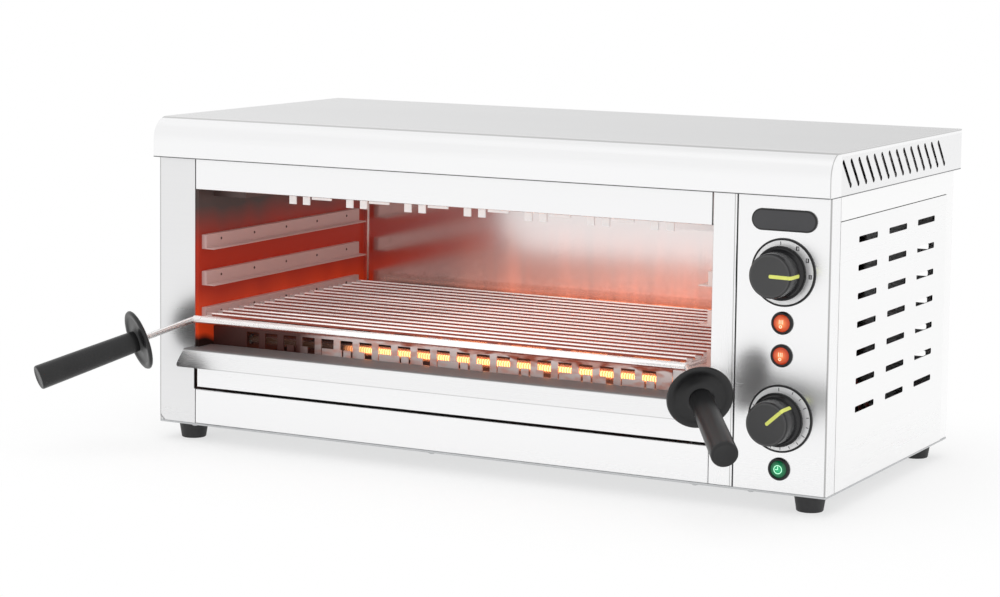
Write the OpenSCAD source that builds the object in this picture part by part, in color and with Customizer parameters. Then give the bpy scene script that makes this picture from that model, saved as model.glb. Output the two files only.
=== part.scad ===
// Counter-top cheese melter with two banks of quartz heating tubes.
// X runs left to right, -Y is the front, +Z is up. Sizes are in millimetres.
// Inside the modules x = 0 is the cabinet's left side, y = 0 its front face
// and z = 0 the surface that it stands on. placed() moves every piece so that
// the origin lies on that surface, at the middle of the footprint.

/* [Cabinet] */
// Depth of the cabinet
body_d = 294; // [284:1:340]
// Thickness of the sheet metal
sheet_t = 1.2; // [1:0.1:1.5]
// Thickness of the base plate
base_t = 2; // [1.5:0.1:3]
// Gap between two panels that meet
seam = 0.3; // [0.2:0.05:0.6]
// Width of the flanges folded inwards
flange_w = 11; // [8:0.5:14]

/* [Top cover] */
// Overhang of the cover at the front
cover_front = 7.5; // [5:0.5:12]
// Overhang of the cover at each side
cover_side = 1.5; // [1.5:0.1:3]
// Overhang of the cover at the back
cover_back = 14; // [14:0.5:24]
// Height of the skirt around the cover
skirt_h = 35.5; // [33:0.5:42]
// Outer radius of the rolled front edge
roll_r = 20; // [12:1:24]
// Number of slanted vents in each side skirt
vent_count = 14; // [6:1:14]
// Width of a slanted vent
vent_w = 4.2; // [2:0.1:6]
// Height of a slanted vent
vent_rise = 22.5; // [16:0.5:24]
// Distance that a slanted vent runs backwards as it falls
vent_run = 20; // [8:0.5:22]
// Distance from the cabinet's front to the first vent
vent_start = 15; // [12:0.5:24]
// Distance from the last vent's top to the cabinet's back
vent_last_gap = 50.2; // [44:0.2:80]

/* [Front] */
// Width of the left post
left_post_w = 38; // [34:0.5:50]
// Width of the opening
opening_w = 500; // [470:1:520]
// Height of the opening
opening_h = 179.5; // [172:0.5:200]
// Width of the middle post
middle_post_w = 21.2; // [18:0.2:26]
// Width of the control panel
control_w = 80.8; // [78:0.2:96]
// Height of the header panel below the cover's skirt
header_h = 27.5; // [20:0.5:32]
// Height of the plinth panel
plinth_h = 31; // [28:0.5:34]
// Size of the cut corner at the foot of the left post
corner_cut = 6; // [3:0.5:8]
// Width of the control panel's return on the right side
return_w = 18; // [14:0.5:22]

/* [Right side] */
// Width of the rear strip of the right side
rear_strip_w = 17; // [14:0.5:22]
// Height of the top strip of the right side, below the skirt
top_strip_h = 20; // [16:0.5:24]
// Number of slot columns in the louvre panel
slot_cols = 3; // [1:1:3]
// Number of slot rows in the louvre panel
slot_rows = 7; // [1:1:7]
// Length of a slot
slot_l = 43.5; // [20:0.5:46]
// Height of a slot
slot_w = 5; // [3:0.2:7]
// Distance from the cabinet's front to the middle of the first column
slot_first_y = 82; // [80:0.5:90]
// Distance from the middle of the last column to the cabinet's back
slot_last_gap = 70; // [60:0.5:76]
// Height of the middle of the lowest slot row above the base plate
slot_rise = 61; // [20:0.5:66]
// Distance from the louvre panel's top to the middle of the top slot row
slot_top_gap = 17.8; // [12:0.2:30]

/* [Feet] */
// Height of a foot
foot_h = 15; // [12:0.5:20]
// Diameter of a foot at its top
foot_top_d = 27; // [24:0.5:32]
// Diameter of a foot at its base
foot_base_d = 22; // [20:0.5:24]
// Distance from the cabinet's sides to a foot's centre
foot_inset_x = 22; // [18:0.5:30]
// Distance from the cabinet's front to a front foot's centre
foot_inset_front = 22; // [18:0.5:30]
// Distance from the cabinet's back to a rear foot's centre
foot_inset_back = 18; // [17:0.5:30]
// Diameter of the foot screws
foot_screw_d = 5; // [4:0.5:6]

/* [Cavity] */
// Distance from the opening's left side to the cavity's left wall
left_step = 3; // [2:0.5:5]
// Distance from the opening's right side to the cavity's right wall
right_step = 10; // [6:0.5:12]
// Distance from the cabinet's front to the right wall's front edge
right_wall_y = 24; // [20:0.5:24]
// Distance from the cavity's back wall to the cabinet's back
liner_back_gap = 5.5; // [4:0.5:12]
// Number of rack levels
level_count = 3; // [1:1:3]
// Height of the lowest rail's underside above the plinth
rail_rise = 60.5; // [59:0.5:62]
// Distance between two rack levels
level_pitch = 32.6; // [24:0.2:34]
// Height of a rail's face
rail_h = 12.8; // [8:0.2:16]
// Depth of a rail's face from the cavity wall
rail_face = 5; // [3:0.5:6]
// Width of a rail's ledge
ledge_w = 8.5; // [7:0.5:10]
// Distance from the cabinet's front to the left rails
rail_start = 6; // [4:0.5:10]
// Distance from the rails to the cavity's back wall
rail_end_gap = 18; // [10:1:30]
// Width of the back flanges of the cavity's side walls
liner_flange = 13; // [10:0.5:18]

/* [Rack] */
// Diameter of the rack's front rod
front_rod_d = 6.4; // [5:0.2:7]
// Diameter of the rack's side and rear rods
side_rod_d = 5; // [4:0.2:6]
// Diameter of the rack's cross wires
wire_d = 3.2; // [2.4:0.2:3.6]
// Number of cross wires
wire_count = 16; // [8:1:16]
// Distance from the cabinet's front to the first cross wire
wire_start = 5; // [3:0.5:5]
// Distance from the rack's back to the cavity's back wall
rack_back_gap = 20; // [8:0.5:40]
// Distance that the front rod stands out of the cabinet
front_rod_out = 8; // [5:0.5:12]
// Gap between the rack and the rails' faces
rack_side_gap = 1.6; // [1:0.1:3]
// Gap between the front rod's left end and the side of the opening
front_rod_gap = 5; // [3:0.5:8]
// Gap between the front rod's right end and the side of the opening
front_rod_gap_right = 17; // [14:0.5:20]
// Angle that the handles splay outwards, in degrees
splay = 36; // [0:1:40]
// Angle that the handles tilt downwards, in degrees
tilt = 17; // [0:1:24]
// Diameter of a handle's rod
handle_rod_d = 5.6; // [5:0.2:6]
// Distance along the handle from the front rod to the guard
guard_at = 53; // [53:1:60]
// Diameter of a handle's guard
guard_d = 54; // [40:1:54]
// Distance along the handle from the front rod to the grip's end
grip_end = 150; // [130:1:160]
// Diameter of a grip at its guard
grip_neck_d = 18.6; // [16:0.2:20]
// Diameter of a grip at its end
grip_end_d = 22; // [18:0.2:26]

/* [Crumb tray] */
// Gap between the tray's front and the panels around it
tray_gap = 2; // [1.5:0.1:3]
// Height of the tray's rim above its floor
tray_rim = 14; // [8:0.5:16]
// Height of the tray's front from its lower edge to its lip
tray_front_h = 36.5; // [34:0.5:38]
// Distance that the lip stands out of the cabinet
lip_out = 14; // [10:0.5:18]
// Distance that the lip's flange slopes further forwards
lip_slope = 8; // [4:0.5:10]
// Height of the lip's sloping flange
lip_drop = 15.5; // [12:0.5:18]
// Distance that the lip's lower edge runs past the front rod's ends
lip_wide = 11.5; // [8:0.5:11.5]
// Distance that the lip's ends slant inwards as they rise
lip_slant = 4; // [4:0.5:8]
// Distance that the lip's top runs into the cabinet
lip_in = 19; // [12:0.5:20]

/* [Heaters] */
// Number of quartz tubes in each bank
tube_count = 3; // [1:1:3]
// Diameter of a quartz tube
tube_d = 9; // [8:0.2:10]
// Wall of a quartz tube
tube_wall = 1; // [0.8:0.1:1.4]
// Diameter of the heating coil inside a tube
coil_d = 5; // [3:0.2:5.4]
// Height of the lower tubes' centres above the plinth
lower_tube_rise = 43.5; // [42:0.1:44]
// Height of the upper tubes' centres above the header's lower edge
upper_tube_rise = 12; // [11:0.2:13]
// Distance from the cabinet's front to the first tube
tube_first_y = 36; // [34:0.5:40]
// Distance from the last tube to the cavity's back wall
tube_last_gap = 36; // [32:0.5:60]
// Width of the boxes that hold the tubes' ends
end_box_w = 34; // [30:0.5:38]
// Length of a ceramic end cap
cap_l = 14; // [10:0.5:16]
// Diameter of a ceramic end cap
cap_d = 13; // [12:0.2:14]
// Distance from the cabinet's front to the heater guards
guard_y = 24; // [23:0.5:26]
// Distance between two pairs of guard tabs
tab_pitch = 58.4; // [50:0.2:60]
// Distance from the guards' left end to the first pair of tabs
tab_first = 57; // [54:0.5:58]
// Width of a guard tab
tab_w = 7; // [5:0.5:8]
// Distance between the middles of two tabs of a pair
tab_pair = 14; // [12:0.5:16]
// Length of an upper guard tab
tab_h = 11; // [6:0.5:16]
// Width of the wide tabs between the pairs
wide_tab_w = 20; // [12:1:24]
// Distance that the wide tabs lie off the middle between two pairs
wide_tab_shift = 6.5; // [0:0.5:9]
// Length of the wide tabs of the upper guard
wide_tab_h = 6; // [4:0.5:8]
// Height of the lugs in front of the lower guard
lug_h = 15.5; // [10:0.5:18]
// Width of a window in the lower guard
window_w = 13; // [10:0.5:14]
// Height of the windows above the middle of the tubes
window_rise = 8.5; // [5:0.5:9]
// Width of the lower guard's first rib
first_rib_w = 2; // [2:0.5:5]

/* [Controls] */
// Distance from the cover's skirt down to the badge's centre
badge_drop = 19.5; // [16:0.5:20]
// Length of the badge
badge_l = 55.5; // [40:0.5:60]
// Height of the badge
badge_h = 17.5; // [14:0.5:22]
// Distance from the cover's skirt down to the selector's centre
selector_drop = 61; // [60:0.5:66]
// Height of the timer's centre above the base plate
timer_rise = 59.5; // [58:0.5:62]
// Height of the lower lamp's centre above the base plate
lamp_rise = 18.7; // [14:0.1:20]
// Share of the room between the dials that lies above the upper lamp
lamp_top_share = 0.15; // [0.1:0.01:0.35]
// Share of the room between the dials that lies between their two lamps
lamp_mid_share = 0.3; // [0.1:0.01:0.35]
// Diameter of a dial
dial_d = 55; // [50:1:58]
// Thickness of a dial
dial_t = 1.6; // [1.2:0.1:2.4]
// Diameter of a knob's skirt
skirt_d = 43.8; // [38:0.2:46]
// Diameter of a knob's grip
knob_d = 36.2; // [26:0.2:37]
// Height of a knob from the panel to its face
knob_h = 30; // [24:0.5:38]
// Diameter of a knob's shaft
shaft_d = 6; // [5:0.5:8]
// Clearance around a shaft in its bearing
shaft_gap = 0.06; // [0.04:0.01:0.09]
// Diameter of a lamp's bezel
bezel_d = 18.6; // [16:0.2:20]
// Diameter of a lamp's lens
lens_d = 14; // [10:0.2:14.4]
// Width of the selector switch and the timer behind the panel
switch_w = 42; // [34:0.5:46]
// Depth of the selector switch
switch_d = 34; // [26:0.5:40]
// Depth of the timer
timer_d = 42; // [34:0.5:50]

/* [Hidden] */
$fn = 48;

// Heights
base_z = foot_h;
panel_z = base_z + base_t;
plinth_top = panel_z + plinth_h;
header_z = plinth_top + opening_h;
skirt_z = header_z + header_h;
shell_top = skirt_z + 7;
total_h = skirt_z + skirt_h;
louvre_top = skirt_z - top_strip_h - seam;

// Places across the front
open_x0 = left_post_w;
open_x1 = open_x0 + opening_w;
post_x1 = open_x1 + middle_post_w;
body_w = post_x1 + control_w;
control_x = post_x1 + control_w / 2;
pale_steel = "gainsboro";

// Patterns
vent_pitch = (body_d - vent_last_gap - vent_start) / max(1, vent_count - 1);
slot_pitch_y = (body_d - slot_last_gap - slot_first_y) / max(1, slot_cols - 1);
slot_first_z = panel_z + slot_rise;
slot_pitch_z = (louvre_top - slot_top_gap - slot_first_z) / max(1, slot_rows - 1);
bracket_inset = 100;
bracket_xs = [bracket_inset, body_w / 2, body_w - bracket_inset];

// Cavity
wall_x0 = open_x0 + left_step;
wall_x1 = open_x1 - right_step;
wall_back = body_d - liner_back_gap;
wall_front = sheet_t + 0.2;
rail_end = wall_back - rail_end_gap;
reflector_z = header_z + upper_tube_rise + 16;
rail_z = plinth_top + rail_rise;
ledge_top = rail_z + sheet_t;

// Rack, which lies a hair above the ledges of the lowest rails
rest_gap = 0.3;
rack_mid = (wall_x0 + wall_x1) / 2;
rack_half = (wall_x1 - wall_x0) / 2 - rail_face - rack_side_gap;
side_rod_x = rack_half - 2.5;
rod_z = ledge_top + rest_gap + side_rod_d / 2;
weld = 0.8;
wire_z = rod_z + side_rod_d / 2 + wire_d / 2 - weld;
rear_rod_y = wall_back - rack_back_gap;
wire_end = rear_rod_y - side_rod_d - 0.5;
wire_pitch = (wire_end - wire_start) / max(1, wire_count - 1);
rod_x0 = open_x0 + front_rod_gap;
rod_x1 = open_x1 - front_rod_gap_right;
rod_mid = (rod_x0 + rod_x1) / 2;
grip_start = guard_at + 4;
grip_chamfer = 1.4;

// Crumb tray
tray_front_z = plinth_top + tray_gap;
lip_z = tray_front_z + tray_front_h;
tray_floor_z = tray_front_z + 2.5;
tray_x0 = wall_x0 + 3;
tray_x1 = wall_x1 - 3;
tray_back = wall_back - 14;
runner_top = tray_floor_z - rest_gap;

// Heaters
upper_tube_z = header_z + upper_tube_rise;
lower_tube_z = plinth_top + lower_tube_rise;
tube_last_y = wall_back - tube_last_gap;
tube_step = tube_count > 1 ? (tube_last_y - tube_first_y) / (tube_count - 1) : 0;
tube_ys = [for (i = [0:tube_count - 1]) tube_first_y + i * tube_step];
tube_x0 = wall_x0 + end_box_w - 13;
tube_x1 = wall_x1 - end_box_w + 13;
box_half = 12;
box_front = guard_y + 1;
box_back = wall_back - 12;
guard_x0 = wall_x0 + end_box_w + 0.2;
guard_x1 = wall_x1 - end_box_w - 0.2;
guard_back = wall_back - 16;
lower_guard_z = lower_tube_z + box_half - 1;
lower_guard_foot = lower_tube_z - box_half - 3;
upper_guard_z = upper_tube_z - box_half + 1;
tab_x0 = guard_x0 + tab_first;
tab_count = floor((guard_x1 - tab_x0 - (tab_pair + tab_w) / 2) / tab_pitch) + 1;
window_pitch = tab_pitch / 3;
window_x0 = guard_x0 + first_rib_w + window_w / 2;
window_count = floor((guard_x1 - window_x0 - window_w / 2 - first_rib_w) / window_pitch) + 1;
lug_out = 3;

// Controls
badge_z = skirt_z - badge_drop;
selector_z = skirt_z - selector_drop;
timer_z = panel_z + timer_rise;
lamp_room = selector_z - timer_z - dial_d - 2 * bezel_d;
lamp_a_z = selector_z - dial_d / 2 - lamp_top_share * lamp_room - bezel_d / 2;
lamp_b_z = lamp_a_z - bezel_d - lamp_mid_share * lamp_room;
lamp_c_z = panel_z + lamp_rise;
lamp_zs = [lamp_a_z, lamp_b_z, lamp_c_z];
lamp_body_l = 24;
lamp_tab_l = 8;
knob_back = dial_t + 0.8;
bearing_d = shaft_d + 2 * shaft_gap;
shaft_in = 22;
gland_z = panel_z + 28;
gland_d = 20;

// Footprint, with the handles: how far a grip's end reaches along one axis
function reach(k) = max(
    (grip_end - grip_chamfer) * k + grip_end_d / 2 * sqrt(1 - k * k),
    grip_end * k + (grip_end_d / 2 - grip_chamfer) * sqrt(1 - k * k));
foot_x0 = min(-cover_side, rod_x0 - reach(sin(splay) * cos(tilt)));
foot_x1 = max(body_w + cover_side, rod_x1 + reach(sin(splay) * cos(tilt)));
foot_y0 = -front_rod_out - reach(cos(splay) * cos(tilt));
foot_y1 = body_d + cover_back;

module placed() {
    translate([-(foot_x0 + foot_x1) / 2, -(foot_y0 + foot_y1) / 2, 0]) children();
}

// A block between two corners
module block(a, b) {
    translate(a) cube(b - a);
}

module rod_x(x0, x1, y, z, d) {
    translate([x0, y, z]) rotate([0, 90, 0]) cylinder(d = d, h = x1 - x0);
}

module rod_y(x, y0, y1, z, d) {
    translate([x, y1, z]) rotate([90, 0, 0]) cylinder(d = d, h = y1 - y0);
}

module rod_z(x, y, z0, z1, d) {
    translate([x, y, z0]) cylinder(d = d, h = z1 - z0);
}

// A turned piece on the front: the outline is [radius, height out of the panel]
module turned(z, outline) {
    translate([control_x, 0, z]) rotate([90, 0, 0]) rotate_extrude($fn = 96) polygon(outline);
}

// Corner points of a rectangle with rounded corners, about its centre
function rounded(w, h, r) = [
    for (c = [[1, 1, 0], [-1, 1, 90], [-1, -1, 180], [1, -1, 270]])
        for (a = [0, 30, 60, 90])
            [c[0] * (w / 2 - r) + r * cos(c[2] + a), c[1] * (h / 2 - r) + r * sin(c[2] + a)]
];

// A pan-head screw along -Z with its seat at z = 0
module screw(d, l) {
    translate([0, 0, -l]) cylinder(d = d, h = l);
    rotate_extrude() polygon([[0, 0], [d, 0], [d, 0.35 * d], [0.6 * d, 0.6 * d], [0, 0.6 * d]]);
}

module at_feet() {
    for (x = [foot_inset_x, body_w - foot_inset_x])
        for (y = [foot_inset_front, body_d - foot_inset_back])
            translate([x, y, 0]) children();
}

// Places of the screws under the base plate
base_screw_xs = [left_post_w - 4, open_x0 + 0.48 * opening_w, open_x1 - 14, post_x1 + 14];
module at_base_screws() {
    for (x = base_screw_xs)
        translate([x, flange_w / 2 + 1, 0]) children();
    for (y = [body_d * 0.2, body_d * 0.8])
        for (x = [flange_w / 2 + 1, body_w - flange_w / 2 - 1])
            translate([x, y, 0]) children();
}

// Cabinet shell

module base_plate() color(pale_steel) difference() {
    block([0, 0, base_z], [body_w, body_d, panel_z]);
    at_feet() rod_z(0, 0, base_z - 1, panel_z + 1, foot_screw_d);
    at_base_screws() rod_z(0, 0, base_z - 1, panel_z + 1, 3);
    for (i = [0:5])
        block([post_x1 + 10, 70 + i * 24, base_z - 1], [body_w - 20, 76 + i * 24, panel_z + 1]);
}

module left_side_panel() color("silver") difference() {
    union() {
        block([0, 0, panel_z], [sheet_t, body_d, shell_top]);
        block([0, 0, panel_z], [left_post_w, sheet_t, shell_top]);
        block([0, 0, panel_z], [flange_w, body_d, panel_z + sheet_t]);
        block([0, 0, panel_z], [left_post_w, flange_w, panel_z + sheet_t]);
        block([0, 0, shell_top - sheet_t], [flange_w, body_d, shell_top]);
        block([0, body_d - sheet_t, panel_z], [flange_w, body_d, shell_top]);
    }
    translate([0, -1, panel_z]) rotate([0, 45, 0])
        cube([corner_cut * sqrt(2), sheet_t + 2, corner_cut * sqrt(2)], center = true);
    at_base_screws() rod_z(0, 0, panel_z - 1, panel_z + sheet_t + 1, 3);
}

module header_panel() color("silver") {
    x0 = open_x0 + seam;
    x1 = open_x1 - seam;
    block([x0, 0, header_z], [x1, sheet_t, shell_top]);
    block([wall_x0 + seam, 0, header_z], [x1, 7, header_z + sheet_t]);
    block([x0, 0, shell_top - sheet_t], [x1, flange_w, shell_top]);
}

module middle_post() color("silver") difference() {
    union() {
        block([open_x1, 0, panel_z], [post_x1 - seam, sheet_t, shell_top]);
        block([open_x1, 0, panel_z + sheet_t], [open_x1 + sheet_t, right_wall_y - 0.2, shell_top]);
        block([post_x1 - seam - sheet_t, 0, panel_z], [post_x1 - seam, flange_w, shell_top]);
        block([open_x1, 0, panel_z], [post_x1 - seam, flange_w, panel_z + sheet_t]);
    }
    at_base_screws() rod_z(0, 0, panel_z - 1, panel_z + sheet_t + 1, 3);
}

module plinth_panel() color("silver") difference() {
    x0 = open_x0 + seam;
    x1 = open_x1 - seam;
    union() {
        block([x0, 0, panel_z], [x1, sheet_t, plinth_top]);
        block([x0, 0, plinth_top - sheet_t], [x1, flange_w, plinth_top]);
        block([x0, 0, panel_z], [x1, flange_w, panel_z + sheet_t]);
    }
    at_base_screws() rod_z(0, 0, panel_z - 1, panel_z + sheet_t + 1, 3);
}

module control_panel() color("silver") difference() {
    x0 = post_x1 + seam;
    union() {
        block([x0, 0, panel_z], [body_w, sheet_t, shell_top]);
        block([body_w - sheet_t, 0, panel_z], [body_w, return_w, shell_top]);
        block([x0, 0, panel_z], [x0 + sheet_t, flange_w, shell_top]);
        block([x0, 0, panel_z], [body_w, flange_w, panel_z + sheet_t]);
    }
    at_base_screws() rod_z(0, 0, panel_z - 1, panel_z + sheet_t + 1, 3);
    for (z = [selector_z, timer_z])
        rod_y(control_x, -1, sheet_t + 1, z, shaft_d + 4);
    for (z = lamp_zs)
        rod_y(control_x, -1, sheet_t + 1, z, lens_d - 1);
}

// Rear strip and top strip of the right side, with a ledge behind the louvre panel
module right_side_frame() color("silver") difference() {
    y0 = return_w + seam;
    top_z = skirt_z - top_strip_h;
    union() {
        block([body_w - sheet_t, y0, top_z], [body_w, body_d, shell_top]);
        block([body_w - sheet_t, body_d - rear_strip_w, panel_z], [body_w, body_d, shell_top]);
        block([body_w - flange_w, body_d - sheet_t, panel_z], [body_w, body_d, shell_top]);
        block([body_w - flange_w, y0, shell_top - sheet_t], [body_w, body_d, shell_top]);
        block([body_w - 2 * sheet_t, y0, top_z - 6], [body_w - sheet_t, body_d, top_z + 6]);
        block([body_w - 2 * sheet_t, body_d - rear_strip_w - 6, panel_z],
              [body_w - sheet_t, body_d, top_z]);
    }
    at_base_screws() rod_z(0, 0, panel_z - 1, panel_z + sheet_t + 1, 3);
}

module right_louvre_panel() color("silver") difference() {
    y0 = return_w + seam;
    y1 = body_d - rear_strip_w - seam;
    union() {
        block([body_w - sheet_t, y0, panel_z], [body_w, y1, louvre_top]);
        block([body_w - flange_w, y0, panel_z], [body_w, y1 - 8, panel_z + sheet_t]);
    }
    at_base_screws() rod_z(0, 0, panel_z - 1, panel_z + sheet_t + 1, 3);
    for (c = [0:slot_cols - 1])
        for (r = [0:slot_rows - 1])
            translate([body_w - sheet_t - 1, slot_first_y + c * slot_pitch_y,
                       slot_first_z + r * slot_pitch_z])
                rotate([90, 0, 90]) linear_extrude(sheet_t + 2) polygon(rounded(slot_l, slot_w, 1.2));
}

module back_panel() color("silver") difference() {
    x0 = flange_w + seam;
    x1 = body_w - flange_w - seam;
    union() {
        block([x0, body_d - sheet_t, panel_z], [x1, body_d, shell_top]);
        block([x0, body_d - flange_w, panel_z], [x1, body_d, panel_z + sheet_t]);
    }
    rod_y(control_x, body_d - sheet_t - 1, body_d + 1, gland_z, 12);
    for (r = [0:4])
        for (x = [post_x1 + 14, 90])
            translate([x + 24, body_d + 1, 90 + r * 24]) rotate([90, 0, 0])
                linear_extrude(sheet_t + 2) polygon(rounded(slot_l, slot_w, 1.2));
}

// The cover's solid form, a given distance inside its outer skin: the outline seen
// from the side has a quarter circle at the top of its front
module cover_solid(inset, x0, x1, z0) {
    r = roll_r - inset;
    yc = roll_r - cover_front;
    zc = total_h - roll_r;
    translate([x0, 0, 0]) rotate([90, 0, 90]) linear_extrude(x1 - x0) {
        intersection() {
            translate([yc, zc]) circle(r = r, $fn = 96);
            translate([yc - r - 1, zc]) square(r + 1);
        }
        translate([yc - r, z0]) square([r, zc - z0]);
        translate([yc, z0]) square([body_d + cover_back - inset - yc, total_h - inset - z0]);
    }
}

module vent_slot() {
    l = sqrt(vent_rise * vent_rise + vent_run * vent_run);
    rotate([atan2(vent_run, vent_rise), 0, 0]) {
        cube([4 * sheet_t, vent_w, l - vent_w], center = true);
        for (s = [-1, 1])
            translate([0, 0, s * (l - vent_w) / 2]) rotate([0, 90, 0])
                cylinder(d = vent_w, h = 4 * sheet_t, center = true);
    }
}

module top_cover() color("silver") difference() {
    union() {
        difference() {
            cover_solid(0, -cover_side, body_w + cover_side, skirt_z);
            cover_solid(sheet_t, -cover_side + sheet_t, body_w + cover_side - sheet_t, skirt_z - 1);
        }
        block([-cover_side, -cover_front, skirt_z], [body_w + cover_side, -seam, skirt_z + sheet_t]);
    }
    for (x = [-cover_side + sheet_t / 2, body_w + cover_side - sheet_t / 2])
        for (i = [0:vent_count - 1])
            translate([x, vent_start + vent_run / 2 + i * vent_pitch, skirt_z + skirt_h / 2])
                vent_slot();
    for (x = bracket_xs)
        rod_y(x, body_d + cover_back - sheet_t - 1, body_d + cover_back + 1, skirt_z + 8, 4);
}

// Spacers between the back panel and the cover's back skirt
module cover_brackets() color("gray") for (x = bracket_xs) difference() {
    union() {
        block([x - 14, body_d, skirt_z - 12], [x + 14, body_d + sheet_t, skirt_z + 14]);
        block([x - 14, body_d, skirt_z + 14 - sheet_t],
              [x + 14, body_d + cover_back - sheet_t, skirt_z + 14]);
        block([x - 14, body_d + cover_back - 2 * sheet_t, skirt_z + 1],
              [x + 14, body_d + cover_back - sheet_t, skirt_z + 14]);
    }
    rod_y(x, body_d - 1, body_d + cover_back + 1, skirt_z + 8, 4);
}

module cover_screws() color("dimgray") for (x = bracket_xs)
    translate([x, body_d + cover_back, skirt_z + 8]) rotate([-90, 0, 0]) screw(4, 9);

module base_screws() color("dimgray") at_base_screws()
    translate([0, 0, base_z]) mirror([0, 0, 1]) screw(3, 7);

module bay_partition() color("lightgray") {
    x1 = post_x1 - seam - sheet_t - 0.2;
    block([x1 - sheet_t, flange_w, panel_z + sheet_t + 0.2], [x1, body_d - flange_w - 0.2, shell_top - 3]);
    block([x1 - sheet_t, flange_w + 1, panel_z + sheet_t + 0.2],
          [x1 + 14, body_d - flange_w - 0.2, panel_z + 2 * sheet_t + 0.2]);
}

// Cavity

// Wall of the cavity on one side, with flanges of one width pointing away from it
module cavity_side(x_face, away, y0, flange) {
    x_out = x_face + away * sheet_t;
    x_flange = x_face + away * flange;
    z0 = plinth_top + 0.2;
    z1 = shell_top - 3;
    block([min(x_face, x_out), y0, z0], [max(x_face, x_out), wall_back, z1]);
    block([min(x_face, x_flange), y0, z0], [max(x_face, x_flange), y0 + sheet_t, z1]);
    block([min(x_face, x_flange), wall_back - sheet_t, z0], [max(x_face, x_flange), wall_back, z1]);
}

module cavity_left_wall() color("rosybrown") cavity_side(wall_x0, -1, wall_front, liner_flange);

module cavity_right_wall() color("rosybrown") cavity_side(wall_x1, 1, right_wall_y, right_step + 7);

module cavity_back_wall() color("rosybrown") {
    block([wall_x0 - 8, wall_back + 0.2, plinth_top + 0.2],
          [wall_x1 + 8, wall_back + 0.2 + sheet_t, shell_top - 3]);
    block([wall_x0 - 8, wall_back + 0.2, shell_top - 3 - sheet_t],
          [wall_x1 + 8, body_d - sheet_t - 0.2, shell_top - 3]);
}

module top_reflector() color("lightgray") {
    y0 = wall_front + sheet_t + 0.2;
    block([wall_x0 + 0.2, y0, reflector_z], [wall_x1 - 0.2, wall_back - 0.2, reflector_z + sheet_t]);
    block([wall_x0 + 0.2, y0, header_z + 4], [wall_x1 - 0.2, y0 + sheet_t, reflector_z]);
}

module rails(x_face, inward, y0) {
    for (i = [0:level_count - 1]) {
        z = rail_z + i * level_pitch;
        x_hat = x_face + inward * rail_face;
        x_ledge = x_hat + inward * ledge_w;
        block([min(x_face, x_hat), y0, z], [max(x_face, x_hat), rail_end, z + rail_h]);
        block([min(x_hat, x_ledge), y0, z], [max(x_hat, x_ledge), rail_end, z + sheet_t]);
    }
}

module left_rails() color("tan") rails(wall_x0, 1, rail_start);

module right_rails() color("tan") rails(wall_x1, -1, right_wall_y + 3);

// Angles on the base plate that carry the crumb tray
module tray_runners() color("gray") for (side = [-1, 1]) {
    x = side < 0 ? tray_x0 + 8 : tray_x1 - 8;
    y0 = flange_w + 3;
    y1 = body_d - flange_w - 3;
    block([x - sheet_t / 2, y0, panel_z], [x + sheet_t / 2, y1, runner_top]);
    block([x - 8, y0, panel_z], [x + 8, y1, panel_z + sheet_t]);
    block([x - 8, y0, runner_top - sheet_t], [x + 8, y1, runner_top]);
}

// Heaters

// Two boxes, one on each cavity wall, that hold the ends of one bank of tubes
module end_boxes(tube_z, z0, z1) {
    for (side = [-1, 1]) {
        xw = side < 0 ? wall_x0 : wall_x1;
        xi = xw - side * end_box_w;
        difference() {
            block([min(xw, xi), box_front, z0], [max(xw, xi), box_back, z1]);
            block([min(xw, xi) + sheet_t, box_front + sheet_t, z0 + sheet_t],
                  [max(xw, xi) - sheet_t, box_back - sheet_t, z1 - sheet_t]);
            for (y = tube_ys)
                rod_x(xi - 2 * sheet_t, xi + 2 * sheet_t, y, tube_z, tube_d + 0.2);
        }
    }
}

module upper_end_boxes() color("gray")
    end_boxes(upper_tube_z, upper_tube_z - box_half - 8, upper_tube_z + box_half);

module lower_end_boxes() color("gray")
    end_boxes(lower_tube_z, lower_tube_z - box_half - 3, lower_tube_z + box_half - 1);

module tubes(z) {
    for (y = tube_ys) difference() {
        rod_x(tube_x0, tube_x1, y, z, tube_d);
        rod_x(tube_x0 - 1, tube_x1 + 1, y, z, tube_d - 2 * tube_wall);
    }
}

module upper_quartz_tubes() color("bisque") tubes(upper_tube_z);

module lower_quartz_tubes() color("orange") tubes(lower_tube_z);

// The coils as plain rods; each end is a lead that runs out through its cap
module coils(z) {
    for (y = tube_ys) {
        rod_x(tube_x0 + 14, tube_x1 - 14, y, z, coil_d);
        rod_x(tube_x0 - 8, tube_x0 + 14, y, z, 1.6);
        rod_x(tube_x1 - 14, tube_x1 + 8, y, z, 1.6);
    }
}

module upper_heating_coils() color("chocolate") coils(upper_tube_z);

module lower_heating_coils() color("chocolate") coils(lower_tube_z);

// Ceramic caps: each takes a tube's end in a socket and stands on its box's floor
module caps(z, floor_z) {
    for (y = tube_ys)
        for (side = [-1, 1]) {
            x_tube = side < 0 ? tube_x0 : tube_x1;
            x_in = x_tube - side * (cap_l - 5);
            x_out = x_tube + side * 5;
            difference() {
                union() {
                    rod_x(min(x_in, x_out), max(x_in, x_out), y, z, cap_d);
                    block([min(x_in, x_out), y - 5, floor_z], [max(x_in, x_out), y + 5, z]);
                }
                rod_x(min(x_in, x_out) - 1, max(x_in, x_out) + 1, y, z, 1.8);
                rod_x(min(x_in - side, x_tube), max(x_in - side, x_tube), y, z, tube_d);
            }
        }
}

module upper_ceramic_caps() color("ivory") caps(upper_tube_z, upper_tube_z - box_half - 8 + sheet_t);

module lower_ceramic_caps() color("ivory") caps(lower_tube_z, lower_tube_z - box_half - 3 + sheet_t);

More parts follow.
